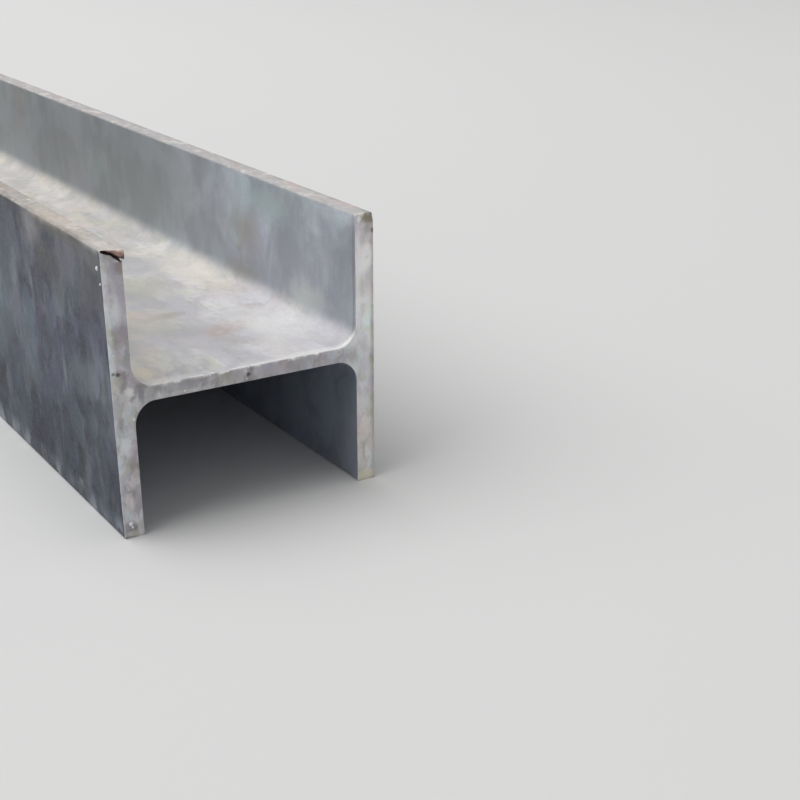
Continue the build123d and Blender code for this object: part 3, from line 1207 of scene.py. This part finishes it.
class SweepTree(ShapeTree):
    """Draws the section out into a bar, waved as rolling leaves it."""

    FLANK_SCALE = 9.0
    WEB_SCALE = 11.0
    TOE_SCALE = 75.0
    TOE_DEPTH = 0.003
    TOE_POWER = 1.6

    def __init__(self) -> None:
        """Makes the tree with its named inputs and lays it out."""
        super().__init__("Rolled Sweep", {
            "Length": 6.0, "Rings": 200, "Crowding": 4.3, "Height": 0.125, "Flange Line": 0.05, "Lean": 0.0,
            "Wave": 0.0002, "Ragged": 0.0003, "Seed": 1.0, "Skin": None})
        self.lay_out()

    def lay_out(self) -> None:
        """Draws the outline along the bar, then leans, waves and roughens it."""
        index = self.out("GeometryNodeInputIndex")
        outline = self.given["Geometry"]
        profile = self.capture(outline, Outline=("VECTOR", self.position()), Place=("INT", index))
        loop = self.out("GeometryNodeMeshToCurve", {"Mesh": profile["Geometry"]})
        feeds = {"Start": (0.0, 0.0, 0.0), "End": (0.0, 1.0, 0.0)}
        line = self.out("GeometryNodeCurvePrimitiveLine", feeds)
        rail = self.out("GeometryNodeResampleCurve", {"Curve": line, "Count": self.given["Rings"]})
        share = self.add("GeometryNodeSplineParameter").outputs["Factor"]
        index = self.out("GeometryNodeInputIndex")
        marked = self.capture(rail, Share=("FLOAT", share), Ring=("INT", index))
        shape = self.out("GeometryNodeCurveToMesh", {"Curve": marked["Geometry"], "Profile Curve": loop})
        place = self.place(profile["Outline"], marked["Share"])
        shape = self.out("GeometryNodeSetPosition", {"Geometry": shape, "Position": place})
        for offset in (self.wave, self.rough_toes):
            shape = self.out("GeometryNodeSetPosition", {"Geometry": shape, "Offset": offset()})
        for name, value in (("place", profile["Place"]), ("ring", marked["Ring"])):
            feeds = {"Geometry": shape, "Name": name, "Value": value}
            shape = self.out("GeometryNodeStoreNamedAttribute", feeds, data_type="INT", domain="POINT")
        self.dress(self.out("GeometryNodeRealizeInstances", {"Geometry": shape}), self.given["Skin"])

    def capture(self, shape: Socket, **fields: tuple[str, Socket]) -> Outputs:
        """Keeps fields with a shape's points.

        Args:
            shape: The shape.
            fields: The kind of each field and the field, by the name to keep it under.

        Returns:
            The shape and the kept fields, by name.
        """
        node = self.add("GeometryNodeCaptureAttribute", {"Geometry": shape})
        for name, (kind, _) in fields.items():
            node.capture_items.new(kind, name)
        for name, (_, field) in fields.items():
            self.feed(node.inputs[name], field)
        return node.outputs

    def place(self, outline: Socket, share: Socket) -> Socket:
        """Places each point of the skin.

        Args:
            outline: The point's place in the section.
            share: Its share of the way along the bar.

        Returns:
            The socket that gives its place, with the rings crowded towards both ends.
        """
        given = self.given
        axes = self.split(outline)
        side = self.math("MULTIPLY_ADD", share, 2.0, -1.0)
        left = self.rest(self.math("ABSOLUTE", side))
        whole = self.math("SUBTRACT", self.math("EXPONENT", given["Crowding"]), 1.0)
        part = self.math("SUBTRACT", self.math("EXPONENT", self.times(given["Crowding"], left)), 1.0)
        reach = self.rest(self.math("DIVIDE", part, whole))
        half = self.times(self.math("SIGN", side), self.times(given["Length"], 0.5))
        line = self.times(given["Flange Line"], -1.0)
        flange = self.ease(axes["X"], self.times(line, 0.6), line)
        drop = self.rest(self.math("DIVIDE", axes["Z"], given["Height"]))
        lean = self.times(given["Lean"], drop, flange)
        return self.join(self.math("ADD", axes["X"], lean), self.times(half, reach), axes["Z"])

    def wave(self) -> Socket:
        """Makes the slow waves of the rolled faces, along their normals and always inwards.

        Returns:
            The socket that gives each point's offset.
        """
        given = self.given
        line = given["Flange Line"]
        flanks = self.noise(self.math("ADD", given["Seed"], 0.0), self.FLANK_SCALE)
        deep = self.times(self.math("ADD", flanks, 1.0), given["Wave"])
        across = self.split(self.position())["X"]
        flank = self.ease(self.math("ABSOLUTE", across), self.times(line, 0.8), line)
        towards = self.times(self.math("SIGN", across), self.times(deep, flank))
        level = self.noise(self.math("ADD", given["Seed"], 3.0), self.WEB_SCALE)
        rise = self.times(level, self.times(given["Wave"], self.rest(flank)))
        return self.join(self.times(towards, -1.0), 0.0, rise)

    def rough_toes(self) -> Socket:
        """Makes the small dips along the flange tips, where the bars have knocked together.

        Returns:
            The socket that gives each point's offset.
        """
        half = self.times(self.given["Height"], 0.5)
        level = self.math("SUBTRACT", self.split(self.position())["Z"], half)
        tip = self.ease(self.math("ABSOLUTE", level), self.math("SUBTRACT", half, self.TOE_DEPTH), half)
        bumps = self.noise(self.math("ADD", self.given["Seed"], 7.0), self.TOE_SCALE)
        dips = self.math("POWER", self.math("ABSOLUTE", bumps), self.TOE_POWER)
        deep = self.times(dips, tip, self.given["Ragged"])
        return self.join(0.0, 0.0, self.times(deep, self.times(self.math("SIGN", level), -1.0)))


def band(rows: int, count: int) -> list[Face]:
    """Lists the faces between rows of points.

    Args:
        rows: How many rows there are.
        count: How many points there are in each row, a closed ring.

    Returns:
        The faces, by the numbers of their points.
    """
    faces = []
    for row in range(rows - 1):
        for k in range(count):
            here, after = row * count + k, row * count + (k + 1) % count
            faces.append((here, after, after + count, here + count))
    return faces


@dataclass(frozen=True)
class TornLip:
    """A tongue of steel left on a flange tip where the saw broke out, over a ragged notch.

    All is in millimetres. The lists go across the flange from its outer face to its inner one; the
    area is the face that is torn, as left, bottom, right and top.
    """

    across: tuple[float, ...] = (-62.5, -60.4, -58.0, -55.6, -54.2, -53.4)
    reach: tuple[float, ...] = (0.0, 0.8, 2.6, 4.3, 4.4, 3.0)
    thickness: tuple[float, ...] = (0.0, 0.2, 1.3, 2.9, 3.8, 4.2)
    notch: tuple[float, ...] = (0.9, 1.6, 2.5, 4.3, 5.6, 5.9)
    area: tuple[float, float, float, float] = (-62.6, 118.2, -53.2, 125.0)
    right: float = -52.0
    bottom: float = 117.0
    skin_edge: float = -61.8
    recess: float = 2.6
    curl: float = 0.4
    shift: float = 0.2
    fade: float = 14.0
    seed: float = 3.0

    def covers(self, points: np.ndarray, end: float) -> np.ndarray:
        """Says which points are near enough to be moved."""
        near = np.abs(points[:, 1] - end) < self.fade * MM
        return near & (points[:, 0] < self.right * MM) & (points[:, 2] > self.bottom * MM)

    def levels(self, points: np.ndarray, top: float) -> tuple[np.ndarray, np.ndarray, np.ndarray]:
        """Reads where points lie on the tongue.

        Args:
            points: One row for each point, in metres.
            top: The height of the flange's tip.

        Returns:
            Each point's depth below the tip, the tongue's thickness there and the notch's depth.
        """
        x = points[:, 0] / MM
        below = (top - points[:, 2]) / MM
        rough = ripple(points * (1.0, 0.0, 0.0), 1.3 * MM, self.seed)
        thick = np.interp(x, self.across, self.thickness) * (1.0 + 0.25 * rough)
        depth = np.interp(x, self.across, self.notch) + 0.35 * rough
        return below, thick, depth

    def bend(self, points: np.ndarray, end: float, top: float) -> np.ndarray:
        """Moves the skin and the end face into the tongue and the notch under it.

        Args:
            points: One row for each point, in metres.
            end: Where the end face is along the bar.
            top: The height of the flange's tip.

        Returns:
            The moved points.
        """
        moved = points.copy()
        chosen = self.covers(points, end)
        part = points[chosen]
        if not len(part):
            return moved
        below, thick, depth = self.levels(part, top)
        inward = (part[:, 1] - end) / MM
        rough = ripple(part, 1.6 * MM, self.seed + 1)
        out = np.interp(part[:, 0] / MM, self.across, self.reach) * (1.0 + 0.12 * rough)
        out *= 1.0 - blend(-0.15, 0.25, below - thick)
        out *= np.clip(1.0 - inward / self.fade, 0.0, 1.0) ** 2
        dent = self.recess * (1.0 + 0.3 * rough) * blend(-0.1, 0.35, below - thick)
        dent *= 1.0 - blend(-0.45, 0.1, below - depth)
        dent *= blend(-62.4, -60.6, part[:, 0] / MM) * np.clip(1.0 - inward / (self.fade / 2), 0.0, 1.0)
        share = out / max(self.reach)
        part[:, 1] += (dent - out) * MM
        part[:, 2] += self.curl * MM * share ** 2
        part[:, 0] += self.shift * MM * share ** 3
        moved[chosen] = part
        return moved

    def torn(self, points: np.ndarray, end: float, top: float) -> np.ndarray:
        """Says which unmoved points of the end face lie on the tongue or in the notch."""
        below, _, depth = self.levels(points, top)
        return self.covers(points, end) & (below < depth) & (points[:, 0] > self.skin_edge * MM)


@dataclass(frozen=True)
class Chip:
    """A hollow knocked or pitted into the end face: centre and reach across and up, and depth."""

    x: float
    z: float
    across: float
    up: float
    depth: float

    def hollow(self, points: np.ndarray) -> np.ndarray:
        """Gives how far each point sinks, in metres."""
        away = np.hypot((points[:, 0] / MM - self.x) / self.across, (points[:, 2] / MM - self.z) / self.up)
        return self.depth * MM * (1.0 - blend(0.35, 1.0, away))


@dataclass(frozen=True)
class CutEnd:
    """A sawn end of the bar: worn arris, slightly uneven face, chips and the torn corner."""

    outward: float
    seed: float
    chips: tuple[Chip, ...] = ()
    lip: TornLip | None = None
    splits: int = 4
    grid: float = 1.05 * MM
    close_grid: float = 0.32 * MM
    wear_least: float = 0.10 * MM
    wear_most: float = 0.34 * MM
    upper_wear: float = 0.75 * MM
    corner_share: float = 0.75
    wear_ripples: tuple[float, float] = (4.2 * MM, 1.3 * MM)
    relief: float = 0.05 * MM
    relief_ripple: float = 3.0 * MM
    relief_fade: float = 1.5 * MM
    arris_fade: float = 0.5 * MM
    margin: float = 0.45

    def refine(self, ring: np.ndarray) -> np.ndarray:
        """Splits each edge of a closed ring into equal parts.

        Args:
            ring: The ring's points.

        Returns:
            The points of the finer ring.
        """
        after = np.roll(ring, -1, axis=0)
        shares = np.arange(self.splits) / self.splits
        return (ring[:, None] + (after - ring)[:, None] * shares[None, :, None]).reshape(-1, ring.shape[1])

    def change(self, rows: np.ndarray) -> np.ndarray:
        """Gives how rows round a loop change, from one of the ring's points before to one after."""
        return np.roll(rows, -self.splits, axis=0) - np.roll(rows, self.splits, axis=0)

    def inward(self, loop: np.ndarray) -> np.ndarray:
        """Finds the way into the steel at each point of a loop.

        Args:
            loop: The closed loop of x and z, clockwise.

        Returns:
            A direction of length 1 for each point.
        """
        along = self.change(loop)
        turned = np.column_stack([along[:, 1], -along[:, 0]])
        return turned / np.linalg.norm(turned, axis=1)[:, None]

    def wear(self, loop: np.ndarray) -> np.ndarray:
        """Gives how much of the arris is worn off at each point of a loop, less at tight corners.

        Args:
            loop: The closed loop of x and z.

        Returns:
            The width of the wear at each point.
        """
        flat = np.column_stack([loop[:, 0], loop[:, 0] * 0, loop[:, 1]])
        slow, quick = (ripple(flat, size, self.seed + at) for size, at in zip(self.wear_ripples, (0, 5)))
        pattern = 0.5 + 0.6 * slow + 0.45 * quick
        into = self.inward(loop)
        upward = blend(0.5, 0.9, -into[:, 1])
        most = self.wear_most + self.upper_wear * upward
        run, turn = (np.linalg.norm(self.change(rows), axis=1) for rows in (loop, into))
        room = self.corner_share * run / np.maximum(turn, 1e-6)
        wide = self.wear_least + (most - self.wear_least) * np.clip(pattern, 0.0, 1.2) ** 2
        return np.minimum(wide, room)

    def distance(self, points: np.ndarray, loop: np.ndarray) -> np.ndarray:
        """Measures how far points lie inside a loop.

        Args:
            points: One row of x and z for each point.
            loop: The closed loop of x and z.

        Returns:
            The distance to the loop, below nothing for the points outside it.
        """
        start = loop
        step = np.roll(loop, -1, axis=0) - loop
        away = points[:, None] - start[None]
        share = np.clip((away * step).sum(2) / (step * step).sum(1), 0.0, 1.0)
        gap = np.linalg.norm(away - share[:, :, None] * step[None], axis=2).min(1)
        stop = start + step
        spans = (start[None, :, 1] > points[:, None, 1]) != (stop[None, :, 1] > points[:, None, 1])
        rise = np.where(np.abs(step[:, 1]) < 1e-12, 1e-12, step[:, 1])
        cross = start[None, :, 0] + (points[:, None, 1] - start[None, :, 1]) * (step[:, 0] / rise)[None]
        inside = ((spans & (points[:, None, 0] < cross)).sum(1) % 2) == 1
        return np.where(inside, gap, -gap)

    def filling(self, loop: np.ndarray) -> np.ndarray:
        """Spreads points over the face inside a loop, closer where it is chipped or torn.

        Args:
            loop: The closed loop of x and z.

        Returns:
            One row of x and z for each point.
        """
        points = self.spread(loop, (*loop.min(0), *loop.max(0)), self.grid)
        areas = [(c.x - c.across, c.z - c.up, c.x + c.across, c.z + c.up) for c in self.chips]
        if self.lip:
            areas.append(self.lip.area)
        for left, bottom, right, top in np.array(areas) * MM:
            x, z = points.T
            out = (x < left) | (x > right) | (z < bottom) | (z > top)
            close = self.spread(loop, (left, bottom, right, top), self.close_grid)
            points = np.vstack([points[out], close])
        return points

    def spread(self, loop: np.ndarray, box: tuple[float, float, float, float], step: float) -> np.ndarray:
        """Spreads points over a box, in rows that are staggered, and keeps those inside a loop.

        Args:
            loop: The closed loop of x and z.
            box: The box's left, bottom, right and top.
            step: How far apart the points are.

        Returns:
            One row of x and z for each point.
        """
        left, bottom, right, top = box
        xs, zs = np.meshgrid(np.arange(left, right, step), np.arange(bottom, top, step))
        xs[::2] += step / 2
        points = np.column_stack([xs.ravel(), zs.ravel()])
        return points[self.distance(points, loop) > self.margin * step]

    def build(self, ring: np.ndarray, top: float) -> tuple[np.ndarray, list[Face], list[int], np.ndarray]:
        """Builds the end from the last ring of the skin.

        Args:
            ring: The ring's points, clockwise seen with x right and z up.
            top: The height of the flanges' tips.

        Returns:
            The points, the first of them the finely split ring that joins the skin; the faces; a
            number for each face, 1 where it is sawn and 2 where it is torn; and how much each
            point belongs to the arris, from 0 to 1.
        """
        end = ring[:, 1].mean()
        fine = self.refine(ring)
        loop = fine[:, [0, 2]]
        into = self.inward(loop)
        worn = self.wear(loop)
        rows = []
        for inset, back in ((0.0, 1.0), (0.3, 0.3), (1.0, 0.0)):
            flat = loop + into * (worn * inset)[:, None]
            rows.append(np.column_stack([flat[:, 0], end - self.outward * worn * back, flat[:, 1]]))
        rim = rows[-1][:, [0, 2]]
        inside = self.filling(rim)
        count = len(loop)
        flat_points = [Vector(p) for p in np.vstack([rim, inside])]
        edges = [(k, (k + 1) % count) for k in range(count)]
        found = geometry.delaunay_2d_cdt(flat_points, edges, [list(range(count))], 1, 1e-9)
        place = {new: old[0] for new, old in enumerate(found[3]) if old}
        gap = self.distance(inside, rim)
        face_points = np.column_stack([inside[:, 0], np.full(len(inside), end), inside[:, 1]])
        bumps = self.relief * ripple(face_points, self.relief_ripple, self.seed + 9)
        face_points[:, 1] += self.outward * bumps * blend(0.0, self.relief_fade, gap)
        points = np.vstack([*rows, face_points])
        edge = np.concatenate([np.repeat((0.8, 1.0, 0.9), count), np.exp(-gap / self.arris_fade)])
        for chip in self.chips:
            points[:, 1] -= self.outward * chip.hollow(points)
        faces = band(len(rows), count)
        base = 2 * count
        cap = [tuple(base + place[k] for k in face) for face in found[2] if all(k in place for k in face)]
        centres = np.array([points[list(face)].mean(0) for face in faces + cap])
        kinds = [1] * len(faces + cap)
        if self.lip:
            torn = self.lip.torn(centres, end, top)
            kinds = [2 if bad else 1 for bad in torn]
        return points, faces + cap, kinds, edge


@dataclass
class RolledBar:
    """The bar itself: the section drawn out to its stock length, with both its sawn ends."""

    section: Section
    low: Vector
    high: Vector
    rings: int = 270
    crowding: float = 4.3
    lean: float = 1.84 * MM
    wave: float = 0.18 * MM
    ragged: float = 0.5 * MM
    seed: float = 2.0
    near_chips: tuple[Chip, ...] = (
        Chip(-0.1, 62.2, 1.0, 0.9, 0.9),
        Chip(-60.3, 73.4, 0.9, 0.8, 0.5),
        Chip(-58.2, 72.9, 1.0, 0.8, 0.6),
        Chip(60.4, 124.0, 3.4, 3.2, 1.1),
        Chip(-58.6, 0.2, 2.2, 1.0, 0.5),
    )
    far_chips: tuple[Chip, ...] = (
        Chip(-57.0, 121.5, 3.0, 2.4, 0.8),
        Chip(20.0, 65.6, 3.0, 1.0, 0.5),
    )

    def skin(self, material: Material) -> np.ndarray:
        """Draws the outline out along the bar.

        Args:
            material: The rolled finish.

        Returns:
            The points by ring, place in the outline and axis.
        """
        outline = self.section.outline()
        mesh = bpy.data.meshes.new("outline")
        count = len(outline)
        edges = [(k, (k + 1) % count) for k in range(count)]
        mesh.from_pydata([(p.x, 0.0, p.y) for p in outline], edges, [])
        values = {
            "Length": self.high.y - self.low.y,
            "Rings": self.rings,
            "Crowding": self.crowding,
            "Height": self.section.width,
            "Flange Line": self.section.inner,
            "Lean": self.lean,
            "Wave": self.wave,
            "Ragged": self.ragged,
            "Seed": self.seed,
            "Skin": material,
        }
        swept = SweepTree().run(mesh, "swept", values)
        points = np.zeros(len(swept.vertices) * 3, np.float32)
        swept.vertices.foreach_get("co", points)
        order = np.zeros((2, len(swept.vertices)), np.int32)
        swept.attributes["place"].data.foreach_get("value", order[0])
        swept.attributes["ring"].data.foreach_get("value", order[1])
        bpy.data.meshes.remove(swept)
        points = points.reshape(-1, 3).astype(float)[np.lexsort((order[0], order[1]))]
        return points.reshape(self.rings, count, 3)

    def build(self, skin: Material, sawn: Material, torn: Material) -> bpy.types.Object:
        """Joins the skin and the two ends into one closed mesh.

        Args:
            skin: The rolled finish.
            sawn: The sawn ends' finish.
            torn: The torn metal's finish.

        Returns:
            The bar's object.
        """
        rings = self.skin(skin)
        count = rings.shape[1]
        top = self.high.z
        lip = TornLip()
        near = CutEnd(-1.0, 11.0, self.near_chips, lip)
        far = CutEnd(1.0, 23.0, self.far_chips)
        tube = rings[1:-1].reshape(-1, 3)
        body_rows = self.rings - 2
        faces = band(body_rows, count)
        kinds = [0] * len(faces)
        parts = [tube]
        edge = [np.zeros(len(tube))]
        for cut, ring, row in ((near, rings[0], 0), (far, rings[-1], body_rows - 1)):
            points, end_faces, end_kinds, end_edge = cut.build(ring, top)
            base = sum(len(part) for part in parts)
            stitched = self.stitch(row * count, base, count, cut.splits)
            turn = -1 if cut.outward < 0 else 1
            bevel = 2 * count * cut.splits
            faces += [face[::turn] for face in stitched]
            faces += [tuple(base + k for k in face[::turn]) for face in end_faces[:bevel]]
            faces += [tuple(base + k for k in face) for face in end_faces[bevel:]]
            kinds += [0] * len(stitched) + end_kinds
            parts.append(points)
            edge.append(end_edge)
        points = np.vstack(parts)
        points = lip.bend(points, self.low.y, top)
        mesh = bpy.data.meshes.new("rolled_bar")
        mesh.from_pydata(points.tolist(), [], faces)
        for material in (skin, sawn, torn):
            mesh.materials.append(material)
        mesh.polygons.foreach_set("material_index", np.array(kinds, np.int32))
        layer = mesh.attributes.new(EDGE_NAME, "FLOAT", "POINT")
        layer.data.foreach_set("value", np.concatenate(edge).astype(np.float32))
        return shown(mesh, "rolled_bar")

    def stitch(self, ring: int, fine: int, count: int, splits: int) -> list[Face]:
        """Joins a ring of the skin to the finer ring at the end, edge by edge.

        Args:
            ring: The number of the skin ring's first point.
            fine: The number of the fine ring's first point.
            count: How many points the skin's ring has.
            splits: How many fine edges go with each of its edges.

        Returns:
            The triangles between the two rings.
        """
        faces = []
        total = count * splits
        for k in range(count):
            here = ring + k
            after = ring + (k + 1) % count
            first = k * splits
            middle = splits // 2
            for part in range(splits):
                corner = here if part < middle else after
                faces.append((corner, fine + (first + part + 1) % total, fine + first + part))
            faces.append((here, after, fine + first + middle))
        return faces


def shown(mesh: bpy.types.Mesh, name: str, sharp: float = 38.0) -> bpy.types.Object:
    """Turns a mesh into a piece at the origin, outside faces out, smooth but for its sharp edges.

    Args:
        mesh: The piece's mesh, in place.
        name: The piece's name.
        sharp: The angle in degrees from which an edge stays sharp.

    Returns:
        The piece's object.
    """
    mesh.validate()
    build = bpy.data.objects.new(name, mesh)
    bpy.context.scene.collection.objects.link(build)
    shape = bmesh.new()
    shape.from_mesh(mesh)
    bmesh.ops.recalc_face_normals(shape, faces=shape.faces)
    shape.to_mesh(mesh)
    shape.free()
    mesh.shade_smooth()
    mesh.set_sharp_from_angle(angle=math.radians(sharp))
    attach(build, BODY)
    return build


class SpeckTree(ShapeTree):
    """Sets a flattened, uneven drop on each given point."""

    def __init__(self) -> None:
        """Makes the tree with its named inputs and lays it out."""
        super().__init__("Specks", {"Flatness": 0.5, "Uneven": 0.2, "Seed": 1.0, "Finish": None})
        self.lay_out()

    def field(self, name: str, kind: str) -> Socket:
        """Reads a named attribute of the points."""
        node = self.add("GeometryNodeInputNamedAttribute", {"Name": name}, data_type=kind)
        return node.outputs["Attribute"]

    def lay_out(self) -> None:
        """Places a drop on each point, turned to its face and scaled to its size."""
        given = self.given
        size = self.field("size", "FLOAT")
        ball = self.out("GeometryNodeMeshIcoSphere", {"Radius": 1.0, "Subdivisions": 2})
        facing = {"Vector": self.field("facing", "FLOAT_VECTOR")}
        drops = self.out("GeometryNodeInstanceOnPoints", {
            "Points": given["Geometry"], "Instance": ball,
            "Rotation": self.out("FunctionNodeAlignRotationToVector", facing, axis="Z"),
            "Scale": self.join(size, size, self.times(size, given["Flatness"]))})
        whole = self.out("GeometryNodeRealizeInstances", {"Geometry": drops})
        swell = self.times(self.noise(given["Seed"], 900.0), self.times(given["Uneven"], MM))
        away = self.scaled(self.out("GeometryNodeInputNormal"), swell)
        shape = self.out("GeometryNodeSetPosition", {"Geometry": whole, "Offset": away})
        self.dress(shape, given["Finish"])


class Side(Enum):
    """The faces that specks stick to, by the direction that the face looks in."""

    LEFT = (-1.0, 0.0, 0.0)
    NEAR = (0.0, -1.0, 0.0)
    UP = (0.0, 0.0, 1.0)
    INNER_LEFT = (1.0, 0.0, 0.0)


@dataclass(frozen=True)
class Speck:
    """A drop stuck on a face: its place in millimetres as for a mark, its size and its face."""

    centre: Point
    size: float
    side: Side


@dataclass(frozen=True)
class Specks:
    """The few bright specks seen on the bar's near end and outer face."""

    near_end: float
    specks: tuple[Speck, ...] = (
        Speck((-62.45, 3.6, 117.1), 0.95, Side.LEFT),
        Speck((-62.45, 1.3, 111.2), 0.5, Side.LEFT),
        Speck((-1.4, 0.0, 64.1), 0.4, Side.NEAR),
        Speck((-1.0, 0.0, 60.6), 0.35, Side.NEAR),
        Speck((-53.4, 0.0, 64.0), 0.6, Side.NEAR),
        Speck((-57.3, 0.0, 6.4), 1.0, Side.NEAR),
        Speck((-56.7, 0.0, 4.8), 0.6, Side.NEAR),
        Speck((-52.9, 0.1, 52.6), 0.75, Side.NEAR),
        Speck((-29.7, 0.0, 60.6), 0.45, Side.NEAR),
        Speck((54.6, 0.0, 64.8), 0.55, Side.NEAR),
        Speck((-52.9, 1.2, 119.4), 0.5, Side.INNER_LEFT),
    )

    def build(self, finish: Material) -> bpy.types.Object:
        """Makes all the specks as one piece.

        Args:
            finish: The specks' finish.

        Returns:
            The specks' object.
        """
        mesh = bpy.data.meshes.new("speck_places")
        centres = np.array([speck.centre for speck in self.specks]) * MM + (0.0, self.near_end, 0.0)
        mesh.from_pydata(centres.tolist(), [], [])
        size = mesh.attributes.new("size", "FLOAT", "POINT")
        size.data.foreach_set("value", [s.size * MM for s in self.specks])
        facing = mesh.attributes.new("facing", "FLOAT_VECTOR", "POINT")
        facing.data.foreach_set("vector", [v for s in self.specks for v in s.side.value])
        values = {"Flatness": 0.55, "Uneven": 0.25, "Seed": 6.0, "Finish": finish}
        return shown(SpeckTree().run(mesh, "stuck_specks", values), "stuck_specks")


@dataclass(frozen=True)
class Studio:
    """The plain pale floor, the soft light over it and the camera."""

    floor_half: float = 60.0
    floor_colour: Colour = (0.74, 0.74, 0.735)
    key_size: float = 8.0
    key_place: Point = (-2.2, -0.5, 5.0)
    key_watts: float = 380.0
    fill: float = 0.34
    backdrop: float = 0.78
    floor_reach: Point = (1.0, 0.55, 0.0)
    floor_fade: tuple[float, float] = (2.2, 6.5)
    lens: float = 64.39
    eye: Point = (-0.2523, -3.5202, 0.2665)
    aim: Point = (0.49976, 0.79151, -0.35179)

    def floor(self) -> bpy.types.Object:
        """Lays the floor; far from the bar its paint is seen at the backdrop's own level.

        Returns:
            The floor's object.
        """
        half = self.floor_half
        mesh = bpy.data.meshes.new("floor")
        corners = [(-half, -half, 0.0), (half, -half, 0.0), (half, half, 0.0), (-half, half, 0.0)]
        mesh.from_pydata(corners, [], [(0, 1, 2, 3)])
        material, sheet = new_material("pale_floor")
        place = sheet.add("ShaderNodeTexCoord").outputs["Object"]
        away = sheet.vector("LENGTH", sheet.vector("MULTIPLY", place, self.floor_reach))
        share = sheet.times(sheet.ease(away, *self.floor_fade), self.seen(sheet))
        paint = sheet.out("ShaderNodeBsdfPrincipled", {"Base Color": self.floor_colour, "Roughness": 0.95})
        level = sheet.out("ShaderNodeEmission", {"Color": WHITE, "Strength": self.backdrop})
        both = sheet.out("ShaderNodeMixShader", {0: share, 1: paint, 2: level})
        sheet.add("ShaderNodeOutputMaterial", {"Surface": both})
        mesh.materials.append(material)
        floor = bpy.data.objects.new("floor", mesh)
        bpy.context.scene.collection.objects.link(floor)
        return floor

    def seen(self, sheet: NodeSheet) -> Socket:
        """Tells a look of the camera, or through a reflection or glass, from the light of the surroundings.

        Args:
            sheet: The node tree of the floor or the surroundings.

        Returns:
            The socket that gives 1 for a look and 0 for light.
        """
        path = sheet.add("ShaderNodeLightPath").outputs
        seen = sheet.math("MAXIMUM", path["Is Camera Ray"], path["Is Glossy Ray"])
        return sheet.math("MAXIMUM", seen, path["Is Transmission Ray"])

    def light(self) -> None:
        """Hangs the large soft lamp over the bar and sets the pale surroundings."""
        lamp = bpy.data.lights.new("softbox", "AREA")
        lamp.shape = "SQUARE"
        lamp.size = self.key_size
        lamp.energy = self.key_watts
        key = bpy.data.objects.new("softbox", lamp)
        key.location = self.key_place
        key.rotation_euler = (-Vector(self.key_place)).to_track_quat("-Z", "Y").to_euler()
        key.visible_camera = False
        bpy.context.scene.collection.objects.link(key)
        world = bpy.data.worlds.new("surroundings")
        world.use_nodes = True
        world.node_tree.nodes.clear()
        sheet = NodeSheet(world.node_tree)
        level = sheet.math("MULTIPLY_ADD", self.seen(sheet), self.backdrop - self.fill, self.fill)
        sky = sheet.out("ShaderNodeBackground", {"Color": WHITE, "Strength": level})
        sheet.add("ShaderNodeOutputWorld", {"Surface": sky})
        bpy.context.scene.world = world

    def camera(self) -> None:
        """Sets the camera where the photograph was taken from."""
        data = bpy.data.cameras.new("view")
        data.lens = self.lens
        data.sensor_width = 36.0
        data.clip_start = 0.01
        data.clip_end = 300.0
        view = bpy.data.objects.new("view", data)
        view.location = self.eye
        view.rotation_euler = Vector(self.aim).to_track_quat("-Z", "Y").to_euler()
        bpy.context.scene.collection.objects.link(view)
        bpy.context.scene.camera = view

    def build(self) -> None:
        """Sets up the floor, light and camera."""
        self.floor()
        self.light()
        self.camera()
        bpy.context.scene.view_settings.view_transform = "Standard"


def report(piece: bpy.types.Object) -> None:
    """Logs a piece's name and how many triangles it has."""
    piece.data.calc_loop_triangles()
    log.info("%s: %d triangles", piece.name, len(piece.data.loop_triangles))


def main() -> None:
    """Builds the studio, the finishes and the pieces in order."""
    logging.basicConfig(level=logging.INFO, format="%(message)s")
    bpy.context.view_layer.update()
    low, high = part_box(NODE)
    Studio().build()
    shelf = EffectShelf()
    section = Section(depth=high.x - low.x, width=high.z - low.z)
    skin = RolledSkin(low.y, section.outer, section.width).build(shelf)
    web_top = (section.width + section.web) / 2
    sawn = SawnEnd(low.y, web_top, section.inner - section.root_radius).build(shelf)
    torn = TornSteel(low.y).build(shelf)
    bar = RolledBar(section, low, high).build(skin, sawn, torn)
    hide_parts(NODE)
    report(bar)
    specks = Specks(low.y).build(PaleSpeck().build(shelf))
    report(specks)


if __name__ == "__main__":
    main()
